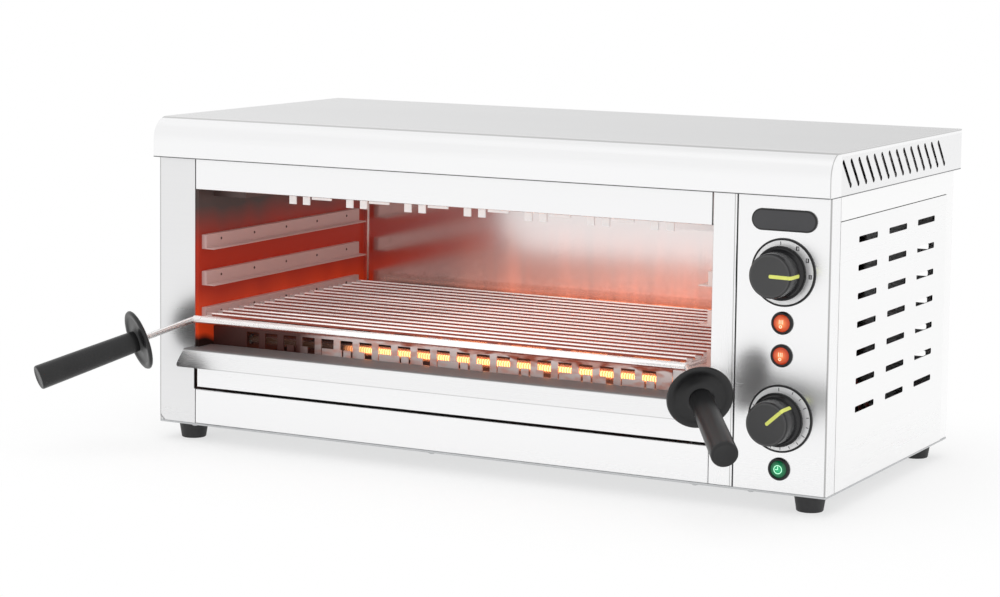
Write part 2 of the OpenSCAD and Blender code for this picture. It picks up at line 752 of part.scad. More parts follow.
// Guard of one bank: a frame with bars along the depth at the tabs and between them
module guard_grid(z) {
    block([guard_x0, guard_y, z], [guard_x1, guard_y + 8, z + sheet_t]);
    block([guard_x0, guard_back - 8, z], [guard_x1, guard_back, z + sheet_t]);
    block([guard_x0, (guard_y + guard_back) / 2 - 4, z],
          [guard_x1, (guard_y + guard_back) / 2 + 4, z + sheet_t]);
    for (i = [0:tab_count - 1])
        for (s = [-1, 1])
            block([tab_x0 + i * tab_pitch + s * tab_pair / 2 - tab_w / 2, guard_y, z],
                  [tab_x0 + i * tab_pitch + s * tab_pair / 2 + tab_w / 2, guard_back, z + sheet_t]);
    for (x = [guard_x0, guard_x1 - tab_w])
        block([x, guard_y, z], [x + tab_w, guard_back, z + sheet_t]);
}

// Upper guard: the grid with short tabs that hang below the header
module upper_heater_guard() color("lightgray") {
    guard_grid(upper_guard_z);
    for (i = [0:tab_count - 1])
        for (s = [-1, 1]) {
            x = tab_x0 + i * tab_pitch + s * tab_pair / 2;
            block([x - tab_w / 2, guard_y, upper_guard_z - tab_h],
                  [x + tab_w / 2, guard_y + sheet_t, upper_guard_z]);
        }
    for (i = [0:tab_count - 2]) {
        x = tab_x0 + (i + 0.5) * tab_pitch - wide_tab_shift;
        block([x - wide_tab_w / 2, guard_y, upper_guard_z - wide_tab_h],
              [x + wide_tab_w / 2, guard_y + sheet_t, upper_guard_z]);
    }
}

// A lug in front of the lower guard: a strip out of its foot that turns up
module lug(x, w) {
    block([x - w / 2, guard_y - lug_out, lower_guard_foot], [x + w / 2, guard_y, lower_guard_foot + sheet_t]);
    block([x - w / 2, guard_y - lug_out, lower_guard_foot],
          [x + w / 2, guard_y - lug_out + sheet_t, lower_guard_foot + lug_h]);
}

// Lower guard: the grid with a front wall that has a row of windows, and lugs in front
module lower_heater_guard() color("lightgray") {
    guard_grid(lower_guard_z - sheet_t);
    difference() {
        block([guard_x0, guard_y, lower_guard_foot], [guard_x1, guard_y + sheet_t, lower_guard_z]);
        for (i = [0:window_count - 1])
            block([window_x0 + i * window_pitch - window_w / 2, guard_y - 1, lower_tube_z - 6],
                  [window_x0 + i * window_pitch + window_w / 2, guard_y + sheet_t + 1,
                   lower_tube_z + window_rise]);
    }
    for (x = [guard_x0, guard_x1 - tab_w])
        block([x, guard_back - sheet_t, lower_guard_foot], [x + tab_w, guard_back, lower_guard_z]);
    for (i = [0:tab_count - 1])
        for (s = [-1, 1])
            lug(tab_x0 + i * tab_pitch + s * tab_pair / 2, tab_w);
    for (i = [0:tab_count - 2])
        lug(tab_x0 + (i + 0.5) * tab_pitch + wide_tab_shift, wide_tab_w);
}

// Controls on the cabinet

module badge_plate() color("darkslategray") {
    r = badge_h / 2;
    half = badge_l / 2 - r;
    block([control_x - half, -1.6, badge_z - r], [control_x + half, 0, badge_z + r]);
    for (s = [-1, 1])
        rod_y(control_x + s * half, -1.6, 0, badge_z, badge_h);
}

module dial_plates() color("gray") for (z = [selector_z, timer_z])
    turned(z, [[shaft_d / 2 + 2, 0], [dial_d / 2, 0], [dial_d / 2, dial_t - 0.5],
               [dial_d / 2 - 0.8, dial_t], [shaft_d / 2 + 2, dial_t]]);

module lamp_bezels() color("black") for (z = lamp_zs)
    turned(z, [[lens_d / 2, 0], [bezel_d / 2, 0], [bezel_d / 2, 1], [bezel_d / 2 - 1, 2.4],
               [lens_d / 2 + 0.4, 2.4], [lens_d / 2, 2]]);

// A lens is a shallow dome with a stem through the panel's hole
module lens(z) {
    turned(z, [[0, -2], [lens_d / 2 - 0.6, -2], [lens_d / 2 - 0.6, 0], [lens_d / 2, 0],
               [lens_d / 2, 1.6], [lens_d / 2 - 1.5, 2.4], [lens_d / 4, 3], [0, 3.2]]);
}

module orange_lenses() color("orangered") {
    lens(lamp_a_z);
    lens(lamp_b_z);
}

module green_lens() color("green") lens(lamp_c_z);

module lamp_bodies() color("white") for (z = lamp_zs) {
    y1 = sheet_t + lamp_body_l;
    rod_y(control_x, sheet_t + 0.8, y1, z, lens_d + 1);
    for (s = [-1, 1])
        block([control_x + s * 3 - 0.4, y1, z - 2.4], [control_x + s * 3 + 0.4, y1 + lamp_tab_l, z + 2.4]);
}

// A box behind the panel with a bearing for the knob's shaft
module shaft_box(z, depth) {
    difference() {
        union() {
            block([control_x - switch_w / 2, sheet_t + 6, z - switch_w / 2],
                  [control_x + switch_w / 2, sheet_t + 6 + depth, z + switch_w / 2]);
            rod_y(control_x, sheet_t, sheet_t + 6, z, shaft_d + 8);
        }
        rod_y(control_x, sheet_t - 1, sheet_t + shaft_in + 0.5, z, bearing_d);
    }
}

module selector_switch() color("white") {
    shaft_box(selector_z, switch_d);
    for (i = [-1:1])
        for (s = [-1, 1])
            block([control_x + i * 12 - 3, sheet_t + 6 + switch_d, selector_z + s * 12 - 0.4],
                  [control_x + i * 12 + 3, sheet_t + 14 + switch_d, selector_z + s * 12 + 0.4]);
}

module timer_unit() color("lightsteelblue") {
    shaft_box(timer_z, timer_d);
    for (s = [-1, 1])
        block([control_x - 3, sheet_t + 6 + timer_d, timer_z + s * 14 - 0.4],
              [control_x + 3, sheet_t + 14 + timer_d, timer_z + s * 14 + 0.4]);
}

block_y = body_d - 90;
module terminal_block() color("ivory") difference() {
    block([control_x - 24, block_y, panel_z], [control_x + 24, block_y + 22, panel_z + 16]);
    for (i = [-2:2])
        rod_z(control_x + i * 9, block_y + 11, panel_z + 8, panel_z + 17, 5);
}

// A wire swept along a list of points: one ring of corners at each point
wire_sides = 10;
function unit(v) = v / norm(v);
function wire_way(points, i) = i == 0 ? unit(points[1] - points[0])
    : i == len(points) - 1 ? unit(points[i] - points[i - 1])
    : unit(unit(points[i] - points[i - 1]) + unit(points[i + 1] - points[i]));

module wire(points, d) {
    n = wire_sides;
    last = (len(points) - 1) * n;
    rings = [for (i = [0:len(points) - 1])
        let (way = wire_way(points, i), u = unit(cross(way, [1, 0, 0])), v = cross(way, u))
        for (a = [0:n - 1]) points[i] + d / 2 * (cos(a * 360 / n) * u + sin(a * 360 / n) * v)];
    sides = [for (i = [0:len(points) - 2])
        for (a = [0:n - 1])
            let (p = i * n + a, q = i * n + (a + 1) % n)
            each [[p, p + n, q], [q, p + n, q + n]]];
    polyhedron(rings, concat([[for (a = [0:n - 1]) a], [for (a = [n - 1:-1:0]) last + a]], sides));
}

module wiring() color("firebrick") {
    top = panel_z + 16;
    back = sheet_t + 14;
    for (i = [-1:1]) {
        x = control_x + i * 9;
        wire([[x, block_y - 1.5, top - 4], [x, block_y - 12, top + 14],
              [x, switch_d + back + 22, selector_z - 40 - 4 * i],
              [control_x + i * 12, switch_d + back + 2, selector_z - 12]], 2.6);
    }
    wire([[control_x - 18, block_y - 1.5, top - 4], [control_x - 18, block_y - 14, top + 8],
          [control_x - 18, timer_d + back + 16, timer_z - 14],
          [control_x, timer_d + back + 2, timer_z - 14]], 2.6);
    wire([[control_x, block_y + 23.5, top - 6], [control_x, body_d - 40, gland_z],
          [control_x, body_d - sheet_t - 8, gland_z]], 7);
}

module cable_gland() color("black") difference() {
    union() {
        rod_y(control_x, body_d, body_d + 5, gland_z, gland_d);
        rod_y(control_x, body_d + 5, body_d + 13, gland_z, gland_d - 4);
        rod_y(control_x, body_d - sheet_t - 8, body_d, gland_z, 12);
        rod_y(control_x, body_d - sheet_t - 5, body_d - sheet_t, gland_z, gland_d);
    }
    rod_y(control_x, body_d - sheet_t - 9, body_d + 14, gland_z, 8);
}

// Earth stud low on the back, with its nut
module earth_stud() color("goldenrod") {
    translate([body_w - 50 - flange_w, body_d, gland_z]) rotate([-90, 0, 0]) {
        cylinder(d = 5, h = 12);
        cylinder(d = 9, h = 3.5, $fn = 6);
    }
}

// Feet

module rubber_feet() color("black") at_feet() rotate_extrude() polygon([
    [foot_screw_d / 2, 4], [foot_screw_d + 0.5, 4], [foot_screw_d + 0.5, 0], [foot_base_d / 2 - 0.6, 0],
    [foot_base_d / 2, 0.6], [foot_top_d / 2 - 0.4, foot_h - 1.6], [foot_top_d / 2, foot_h - 1.2],
    [foot_top_d / 2, foot_h], [foot_screw_d / 2, foot_h]]);

module foot_screws() color("dimgray") at_feet() {
    rod_z(0, 0, 4, panel_z + 7, foot_screw_d);
    rod_z(0, 0, 1.2, 4, 1.8 * foot_screw_d);
}

module foot_nuts() color("dimgray") at_feet() difference() {
    translate([0, 0, panel_z]) cylinder(d = 1.8 * foot_screw_d, h = 4, $fn = 6);
    rod_z(0, 0, panel_z - 1, panel_z + 5, foot_screw_d);
}

// Rack

module rack_front_rod() color("whitesmoke")
    rod_x(rod_x0, rod_x1, -front_rod_out, rod_z, front_rod_d);

module rack_grid() color("whitesmoke") difference() {
    union() {
        for (s = [-1, 1])
            rod_y(rack_mid + s * side_rod_x, -front_rod_out, rear_rod_y, rod_z, side_rod_d);
        rod_x(rack_mid - side_rod_x, rack_mid + side_rod_x, rear_rod_y - side_rod_d / 2, rod_z,
              side_rod_d - weld);
        for (i = [0:wire_count - 1])
            rod_x(rack_mid - rack_half + weld, rack_mid + rack_half - weld, wire_start + i * wire_pitch,
                  wire_z, wire_d);
    }
    rack_front_rod();
}

module on_handle(side) {
    translate([side < 0 ? rod_x0 : rod_x1, -front_rod_out, rod_z])
        rotate([0, 90 + tilt, side * splay - 90]) children();
}

module handle_rods() color("whitesmoke") difference() {
    for (side = [-1, 1])
        on_handle(side) cylinder(d = handle_rod_d, h = grip_end - 24);
    rack_front_rod();
}

// Guard: a shallow dish with a raised rim and a rounded hub on the grip's side
module handle_guards() color("black") for (side = [-1, 1])
    on_handle(side) translate([0, 0, guard_at]) rotate_extrude($fn = 96) polygon([
        [handle_rod_d / 2, -2], [8, -2], [guard_d / 2 - 5, -1.2], [guard_d / 2 - 1, -0.4],
        [guard_d / 2, 1], [guard_d / 2 - 0.8, 2.8], [guard_d / 2 - 3, 3.2], [guard_d / 2 - 6, 2.2],
        [guard_d / 2 - 9, 1.4], [grip_neck_d / 2 + 3, 2], [grip_neck_d / 2 + 1, 2.8],
        [grip_neck_d / 2, 4], [handle_rod_d / 2, 4]]);

module handle_grips() color("black") for (side = [-1, 1])
    on_handle(side) difference() {
        rotate_extrude($fn = 96) polygon([
            [0, grip_start], [grip_neck_d / 2, grip_start],
            [grip_end_d / 2, grip_end - grip_chamfer], [grip_end_d / 2 - grip_chamfer, grip_end],
            [0, grip_end]]);
        translate([0, 0, grip_start - 1]) cylinder(d = handle_rod_d, h = grip_end - 24 - grip_start + 1);
    }

// Crumb tray

module crumb_tray() color("silver") {
    block([tray_x0, sheet_t, tray_floor_z], [tray_x1, tray_back, tray_floor_z + sheet_t]);
    for (x = [tray_x0, tray_x1 - sheet_t])
        block([x, sheet_t, tray_floor_z], [x + sheet_t, tray_back, tray_floor_z + tray_rim]);
    block([tray_x0, tray_back - sheet_t, tray_floor_z], [tray_x1, tray_back, tray_floor_z + tray_rim]);
    block([open_x0 + tray_gap, 0, tray_front_z], [open_x1 - tray_gap, sheet_t, lip_z - sheet_t]);
}

// The lip: a flat top that runs into the cabinet, and a sloping flange in front.
// Its ends slant inwards as they rise, which keeps them clear of the handles' guards.
module tray_lip() color("silver") {
    low_half = (rod_x1 - rod_x0) / 2 + lip_wide;
    top_half = low_half - lip_slant;
    block([wall_x0 + 1.2, -seam, lip_z - sheet_t], [wall_x1 - 1.2, lip_in, lip_z]);
    block([rod_mid - top_half, -lip_out, lip_z - sheet_t], [rod_mid + top_half, -seam, lip_z]);
    intersection() {
        translate([rod_mid - low_half, 0, 0]) rotate([90, 0, 90]) linear_extrude(2 * low_half) polygon([
            [-lip_out, lip_z], [-lip_out - lip_slope, lip_z - lip_drop],
            [-lip_out - lip_slope + sheet_t, lip_z - lip_drop], [-lip_out + sheet_t, lip_z - sheet_t],
            [-lip_out + sheet_t, lip_z]]);
        translate([rod_mid, 0, lip_z]) rotate([90, 0, 0]) translate([0, 0, -1])
            linear_extrude(lip_out + lip_slope + 2) polygon([
                [-top_half, 0], [-low_half, -lip_drop], [low_half, -lip_drop], [top_half, 0]]);
    }
}

// Knobs

module knob(z) {
    r = knob_d / 2;
    turned(z, [[0, knob_back], [skirt_d / 2 - 2.6, knob_back], [skirt_d / 2 - 2.2, 5.2], [skirt_d / 2, 6.2],
               [skirt_d / 2, 7.8], [skirt_d / 2 - 0.8, 8.6], [r + 0.8, 9.4], [r, 11.5],
               [r - 0.3, knob_h - 1.4], [r - 1.6, knob_h], [0, knob_h]]);
}

// A pointer on the knob's face, from its centre to its rim, turned clockwise from the top
module pointer(z, angle) {
    translate([control_x, -knob_h, z]) rotate([0, angle, 0])
        block([-1.3, -0.5, 0], [1.3, 0, knob_d / 2 - 1.8]);
}

// The shaft ends inside its bearing and is joined to the back of the knob
module shaft(z) rod_y(control_x, -knob_back, sheet_t + shaft_in, z, shaft_d);

selector_angle = 90;
timer_angle = 48;

module selector_knob() color("black") knob(selector_z);

module selector_pointer() color("yellow") pointer(selector_z, selector_angle);

module selector_shaft() color("gray") shaft(selector_z);

module timer_knob() color("black") knob(timer_z);

module timer_pointer() color("yellow") pointer(timer_z, timer_angle);

module timer_shaft() color("gray") shaft(timer_z);

placed() base_plate();
placed() left_side_panel();
placed() header_panel();
placed() middle_post();
placed() control_panel();
placed() right_side_frame();
placed() right_louvre_panel();
placed() plinth_panel();
placed() back_panel();
placed() top_cover();
placed() cover_brackets();
placed() cover_screws();
placed() base_screws();
placed() bay_partition();
placed() cavity_left_wall();
placed() cavity_right_wall();
placed() cavity_back_wall();
placed() top_reflector();
placed() left_rails();
placed() right_rails();
placed() tray_runners();
placed() upper_end_boxes();
placed() lower_end_boxes();
placed() upper_heater_guard();
placed() lower_heater_guard();
placed() upper_quartz_tubes();
placed() lower_quartz_tubes();
placed() upper_heating_coils();
placed() lower_heating_coils();
placed() upper_ceramic_caps();
placed() lower_ceramic_caps();
placed() badge_plate();
placed() dial_plates();
placed() lamp_bezels();
placed() orange_lenses();
placed() green_lens();
placed() lamp_bodies();
placed() selector_switch();
placed() timer_unit();
placed() terminal_block();
placed() wiring();
placed() cable_gland();
placed() earth_stud();
placed() rubber_feet();
placed() foot_screws();
placed() foot_nuts();
placed() rack_front_rod();
placed() rack_grid();
placed() handle_rods();
placed() handle_guards();
placed() handle_grips();
placed() crumb_tray();
placed() tray_lip();
placed() selector_knob();
placed() selector_pointer();
placed() selector_shaft();
placed() timer_knob();
placed() timer_pointer();
placed() timer_shaft();
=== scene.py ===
"""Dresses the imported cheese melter: rounded sheet edges, knobs, dials, lamps, rack and heat.

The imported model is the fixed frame. Each operator makes or finishes one group of pieces.
"""

import math

import bmesh
import bpy
from bpy.props import FloatProperty, FloatVectorProperty, IntProperty, PointerProperty
from bpy.types import Operator, Panel, PropertyGroup
from mathutils import Matrix, Vector


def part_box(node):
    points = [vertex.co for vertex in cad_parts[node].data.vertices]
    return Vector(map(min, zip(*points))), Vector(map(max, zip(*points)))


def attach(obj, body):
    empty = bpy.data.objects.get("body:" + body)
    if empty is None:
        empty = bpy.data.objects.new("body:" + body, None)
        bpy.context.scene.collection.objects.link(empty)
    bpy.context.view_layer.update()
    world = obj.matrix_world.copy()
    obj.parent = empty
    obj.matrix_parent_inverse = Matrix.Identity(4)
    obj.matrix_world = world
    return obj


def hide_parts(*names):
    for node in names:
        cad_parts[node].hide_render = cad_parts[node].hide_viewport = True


bl_info = {
    "name": "Cheese melter dressing",
    "version": (1, 0, 0),
    "blender": (4, 5, 0),
    "location": "3D View > Sidebar > Melter",
    "description": "Makes the visible pieces and finishes of a counter-top cheese melter",
    "category": "Object",
}

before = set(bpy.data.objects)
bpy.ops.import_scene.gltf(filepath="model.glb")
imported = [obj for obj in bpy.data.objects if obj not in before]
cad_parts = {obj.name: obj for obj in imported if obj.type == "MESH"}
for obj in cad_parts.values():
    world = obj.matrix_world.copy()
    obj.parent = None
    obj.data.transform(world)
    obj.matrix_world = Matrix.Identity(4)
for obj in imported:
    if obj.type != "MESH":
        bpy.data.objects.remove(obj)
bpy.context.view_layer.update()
MM = 0.001
MERGE_DISTANCE = 0.000002
SHARP_FOLD = 60
DIAL_FACE = 1.35
PHOTO_WIDTH = 1000
PHOTO_HEIGHT = 597


# Sizes and colours that a user would change


def colour(name, text, value):
    return FloatVectorProperty(
        name=name, description=text, subtype="COLOR", size=3, min=0.0, max=1.0, default=value
    )


def length(name, text, millimetres):
    return FloatProperty(
        name=name, description=text, unit="LENGTH", min=0.0, default=millimetres * MM
    )


class SteelLook(PropertyGroup):
    """The cabinet's brushed steel."""

    tone: colour("Tone", "Colour of the brushed steel", (0.955, 0.955, 0.96))
    roughness: FloatProperty(
        name="Roughness", description="Mean roughness of the brushed steel", min=0.0, max=1.0, default=0.26
    )
    streak: length("Streak width", "Width of one brush mark", 0.7)
    edge: length("Edge radius", "Radius on the cut edges of the sheet", 0.35)
    bend: length("Bend radius", "Radius where a sheet is folded", 1.6)
    seam: length("Seam radius", "Radius on the folded edges beside a seam", 0.8)
    seam_tone: colour("Seam tone", "Colour of the shadow in a seam", (0.10, 0.10, 0.105))


class HeatLook(PropertyGroup):
    """The hot cavity."""

    # Painted light and shade in the cavity's colours: the left wall's red is heat tint that also glows as
    # painted light, the band just above the lower tubes is painted light of the tubes, and the dark brown
    # under the header is painted shade as well as soot on the coils and tray.
    red: colour("Red", "Colour that heat gives the left wall at mid height", (0.29, 0.015, 0.004))
    tube_lit_band: colour("Tube lit band", "Colour of the walls just above the lower tubes", (0.50, 0.040, 0.008))
    soot_and_shade: colour("Soot and shade", "Colour of the walls under the header", (0.050, 0.034, 0.031))
    liner: colour("Liner tone", "Colour of the cavity's steel where it stays clean", (0.86, 0.80, 0.79))
    rail: colour("Rail tone", "Colour of the rails", (0.50, 0.33, 0.31))
    guard: colour("Guard tone", "Colour of the heater guards", (0.78, 0.66, 0.64))
    # The bloom is a painted glow of the tubes' light on the back wall.
    bloom: colour("Bloom", "Colour of the glow low on the back wall", (0.95, 0.22, 0.10))
    bloom_strength: FloatProperty(
        name="Bloom strength", description="Strength of the glow low on the back wall", min=0.0, default=0.45
    )
    glow: colour("Glow", "Colour of the hot coils' outer turns", (1.0, 0.22, 0.06))
    core: colour("Core", "Colour of the hottest part of a coil", (1.0, 0.46, 0.16))
    lower_strength: FloatProperty(
        name="Lower strength", description="Strength of the lower bank's glow", min=0.0, default=6.5
    )
    upper_strength: FloatProperty(
        name="Upper strength", description="Strength of the upper bank's glow", min=0.0, default=3.0
    )
    reflector: FloatProperty(
        name="Reflector", description="Strength of the glow on the top reflector", min=0.0, default=0.55
    )
    cold: length("Cold length", "Length at the left of the lower bank that only glows dull red", 118.0)
    coil_pitch: length("Coil pitch", "Distance between two turns of a heating coil", 2.4)


class ControlLook(PropertyGroup):
    """Knobs, dials, lamps and badge."""

    knob: colour("Knob", "Colour of the knobs' plastic", (0.010, 0.010, 0.011))
    knob_face: colour("Knob face", "Colour of the knobs' matt faces", (0.062, 0.062, 0.063))
    pointer: colour("Pointer", "Colour of the painted pointers", (0.76, 0.80, 0.17))
    badge: colour("Badge", "Colour of the bare badge", (0.050, 0.050, 0.054))
    pointer_width: length("Pointer width", "Width of a painted pointer", 2.9)
    mark_width: length("Mark width", "Width of a printed mark on a dial", 0.55)
    rim_width: length("Rim width", "Width of a dial's black rim", 1.7)
    grip_radius: length("Grip radius", "Radius of a knob above its skirt", 18.1)
    timer_marks: IntProperty(
        name="Timer marks", description="Number of marks on the timer's dial", min=2, default=16
    )


class StageLook(PropertyGroup):
    """Camera, floor and light."""

    floor: colour("Floor", "Colour of the floor", (0.93, 0.93, 0.93))
    focal: FloatProperty(
        name="Focal length", description="Focal length in millimetres on a 36 mm wide sensor", default=97.181
    )
    yaw: FloatProperty(
        name="Yaw", description="Turn of the camera to the left", subtype="ANGLE", default=0.4870
    )
    pitch: FloatProperty(
        name="Pitch", description="Downward tilt of the camera", subtype="ANGLE", default=0.1015
    )
    roll: FloatProperty(
        name="Roll", description="Turn of the camera about its view", subtype="ANGLE", default=0.0123
    )
    centre: FloatVectorProperty(
        name="Camera place", description="Place of the camera from the cabinet's lower front left corner",
        subtype="TRANSLATION", size=3, default=(1.39338, -1.98099, 0.47303)
    )
    axis_row: FloatProperty(
        name="Axis row", description="Row of the photograph that the lens axis meets", default=190.0
    )
    bare: FloatProperty(
        name="White share", description="Share of plain white in the floor at the cabinet's foot",
        min=0.0, max=1.0, default=0.62
    )
    shadow: length("Shadow", "Distance from the cabinet over which the floor turns white", 230.0)
    sky: FloatProperty(
        name="Sky", description="Strength of the light from all sides", min=0.0, default=1.0
    )
    box: FloatProperty(
        name="Soft box", description="Power of the soft box above the cabinet", min=0.0, default=12.0
    )


class RackLook(PropertyGroup):
    """The rack and its handles."""

    wire: length("Cross wire", "Diameter of a cross wire", 3.2)
    # Painted shade: the undersides of the cross wires and the lower part of the front rod take this colour.
    underside_shade: colour("Underside shade", "Colour that heat gives the undersides of the cross wires", (0.26, 0.055, 0.035))
    dull: colour("Dull", "Colour of the rack's side rods", (0.46, 0.36, 0.34))
    lit: FloatProperty(
        name="Lit", description="Strength of the heaters' light on the cross wires", min=0.0, default=0.38
    )
    splay: FloatProperty(
        name="Splay", description="Turn of the handles outwards", subtype="ANGLE", default=math.radians(36)
    )
    tilt: FloatProperty(
        name="Tilt", description="Turn of the handles downwards", subtype="ANGLE", default=math.radians(17)
    )
    guard_place: length("Guard place", "Distance along the handle from the front rod to the guard", 53.0)
    guard_radius: length("Guard radius", "Radius of a handle's guard", 27.0)


class MelterSettings(PropertyGroup):
    """Everything that the operators read."""

    steel: PointerProperty(type=SteelLook)
    heat: PointerProperty(type=HeatLook)
    controls: PointerProperty(type=ControlLook)
    rack: PointerProperty(type=RackLook)
    stage: PointerProperty(type=StageLook)


def settings():
    return bpy.context.scene.melter


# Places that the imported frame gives


def vectors(corners):
    return [Vector(corner) for corner in corners]


def middle(node):
    low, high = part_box(node)
    return (Vector(low) + Vector(high)) / 2


PANEL_LOW, PANEL_HIGH = vectors(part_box("control_panel"))
BODY_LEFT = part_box("left_side_panel")[0][0]
FACE_Y = PANEL_LOW.y
CONTROL_X = middle("badge_plate").x
SELECTOR = Vector((CONTROL_X, FACE_Y, middle("selector_shaft").z))
TIMER = Vector((CONTROL_X, FACE_Y, middle("timer_shaft").z))


# Node graphs


def start_material(name):
    """A new material, its node tree and its principled shader."""
    material = bpy.data.materials.new(name)
    material.use_nodes = True
    tree = material.node_tree
    return material, tree, tree.nodes["Principled BSDF"]


def add(tree, kind, sockets=None, **fields):
    """A node with its fields set; each socket gets a value or a link."""
    made = tree.nodes.new("ShaderNode" + kind)
    for key, value in fields.items():
        setattr(made, key, value)
    for key, value in (sockets or {}).items():
        if isinstance(value, bpy.types.NodeSocket):
            tree.links.new(value, made.inputs[key])
        else:
            made.inputs[key].default_value = value
    return made


def here(tree, scale=(1, 1, 1), centre=(0, 0, 0)):
    """Object coordinates about a centre, in metres, stretched by a scale."""
    source = add(tree, "TexCoord").outputs["Object"]
    place = tuple(-c * s for c, s in zip(centre, scale))
    return add(tree, "Mapping", {"Vector": source, "Scale": scale, "Location": place}).outputs["Vector"]


def axes(tree, centre=(0, 0, 0)):
    """Object coordinates about a centre as three separate values."""
    return add(tree, "SeparateXYZ", {0: here(tree, centre=centre)}).outputs


def noise(tree, vector, scale=1.0, detail=2.0):
    return add(
        tree, "TexNoise", {"Vector": vector, "Scale": scale, "Detail": detail, "Roughness": 0.55}
    ).outputs["Fac"]


def spread(tree, value, low, high, start=0.0, end=1.0):
    """A value from start to end, moved to lie from low to high."""
    return add(
        tree, "MapRange",
        {"Value": value, "From Min": start, "From Max": end, "To Min": low, "To Max": high}
    ).outputs["Result"]


def rise(tree, value, start, end):
    """Nought up to start, one from end on."""
    return spread(tree, value, 0.0, 1.0, start, end)


def fall(tree, value, start, end):
    """One up to start, nought from end on."""
    return spread(tree, value, 1.0, 0.0, start, end)


def blend_of(tree, factor, first, second, mode="MIX"):
    made = add(tree, "Mix", data_type="RGBA", blend_type=mode)
    for socket, value in zip((made.inputs[0], made.inputs[6], made.inputs[7]), (factor, first, second)):
        if isinstance(value, bpy.types.NodeSocket):
            tree.links.new(value, socket)
        else:
            socket.default_value = value
    return made.outputs[2]


def rgba(tone, factor=1.0):
    return tuple(min(1.0, c * factor) for c in tone) + (1.0,)


def bump(tree, shader, height, distance, strength=1.0):
    made = add(tree, "Bump", {"Height": height, "Distance": distance, "Strength": strength})
    tree.links.new(made.outputs["Normal"], shader.inputs["Normal"])


def math_node(tree, operation, first, second, clamp=False):
    return add(tree, "Math", {0: first, 1: second}, operation=operation, use_clamp=clamp).outputs[0]


def times(tree, first, second):
    return math_node(tree, "MULTIPLY", first, second)


def size_of(tree, value):
    return math_node(tree, "ABSOLUTE", value, 0.0)


def length_of(tree, vector):
    return add(tree, "VectorMath", {0: vector}, operation="LENGTH").outputs["Value"]


def brush_marks(tree, along, width):
    """Fine marks along one axis, and wider bands."""
    fine_scale = [1.0 / width] * 3
    fine_scale["XYZ".index(along)] = 1.0 / (width * 90)
    wide_scale = [22.0] * 3
    wide_scale["XYZ".index(along)] = 2.0
    return noise(tree, here(tree, fine_scale), 1.0, 2.0), noise(tree, here(tree, wide_scale), 1.0, 1.0)


def brushed(name, along, tone, roughness, lines=(), contrast=0.014):
    """Metal brushed along one axis, with dark lines of painted shade in seams and under edges: each is (axis,
    place, half width) in metres.
    """
    material, tree, shader = start_material(name)
    fine, wide = brush_marks(tree, along, settings().steel.streak)
    marks = rise(tree, fine, 0.3, 0.7)
    base = blend_of(tree, marks, rgba(tone, 1.0 - contrast), rgba(tone))
    for line in lines:
        base = blend_of(tree, seam_mask(tree, *line), base, rgba(settings().steel.seam_tone))
    tree.links.new(base, shader.inputs["Base Color"])
    dull = spread(tree, wide, roughness - 0.02, roughness + 0.02, 0.3, 0.7)
    rough = math_node(tree, "ADD", dull, spread(tree, fine, -0.012, 0.012, 0.3, 0.7))
    tree.links.new(rough, shader.inputs["Roughness"])
    shader.inputs["Metallic"].default_value = 1.0
    bump(tree, shader, fine, 0.000002, 0.04)
    return material


def darken(material, mask, tone):
    """Mixes a tone into a material's colour where a mask is one."""
    tree = material.node_tree
    for name in ("Base Color", "Emission Color"):
        socket = tree.nodes["Principled BSDF"].inputs[name]
        if socket.is_linked:
            tree.links.new(blend_of(tree, mask, socket.links[0].from_socket, rgba(tone)), socket)


def shade_slot_walls(material, face, depth, top):
    """Paints shade on the walls of the slots that are cut in a sheet on the right side."""
    tree = material.node_tree
    parts = axes(tree)
    mask = seam_mask(tree, "X", face - 0.0002 - depth / 2, depth / 2)
    mask = times(tree, mask, rise(tree, parts["Y"], FACE_Y + 0.012, FACE_Y + 0.014))
    mask = times(tree, mask, fall(tree, parts["Z"], top - 0.004, top - 0.003))
    darken(material, mask, (0.012, 0.012, 0.012))


def seam_mask(tree, axis, place, half):
    """One within half a width of a plane across an axis, and nought beyond it."""
    part = axes(tree)[axis]
    away = size_of(tree, math_node(tree, "SUBTRACT", part, place))
    return fall(tree, away, half * 0.7, half * 1.3)


def speckled(name, tone, roughness, grain, depth, lighter=1.6, gloss=0.5):
    """Moulded plastic or rubber with a fine grain and slightly lighter worn spots."""
    material, tree, shader = start_material(name)
    fine = noise(tree, here(tree), 1.0 / grain, 2.0)
    broad = noise(tree, here(tree), 60.0, 2.0)
    base = blend_of(tree, rise(tree, broad, 0.35, 0.75), rgba(tone), rgba(tone, lighter))
    tree.links.new(base, shader.inputs["Base Color"])
    tree.links.new(spread(tree, broad, roughness - 0.05, roughness + 0.07), shader.inputs["Roughness"])
    shader.inputs["Specular IOR Level"].default_value = gloss
    bump(tree, shader, fine, depth, 0.5)
    return material


def painted(name, tone, roughness):
    """A thin coat of paint or print with a faint unevenness."""
    material, tree, shader = start_material(name)
    broad = noise(tree, here(tree), 240.0, 2.0)
    base = blend_of(tree, broad, rgba(tone, 0.93), rgba(tone, 1.05))
    tree.links.new(base, shader.inputs["Base Color"])
    shader.inputs["Roughness"].default_value = roughness
    bump(tree, shader, broad, 0.00002, 0.4)
    return material


def plated(name, tone, roughness, metal=1.0):
    """Zinc plating, chrome or brass: smooth, with small cloudy patches."""
    material, tree, shader = start_material(name)
    cloud = noise(tree, here(tree), 130.0, 3.0)
    base = blend_of(tree, rise(tree, cloud, 0.35, 0.65), rgba(tone, 0.93), rgba(tone))
    tree.links.new(base, shader.inputs["Base Color"])
    tree.links.new(spread(tree, cloud, roughness, roughness + 0.08, 0.3, 0.7), shader.inputs["Roughness"])
    shader.inputs["Metallic"].default_value = metal
    bump(tree, shader, cloud, 0.00002, 0.4)
    return material


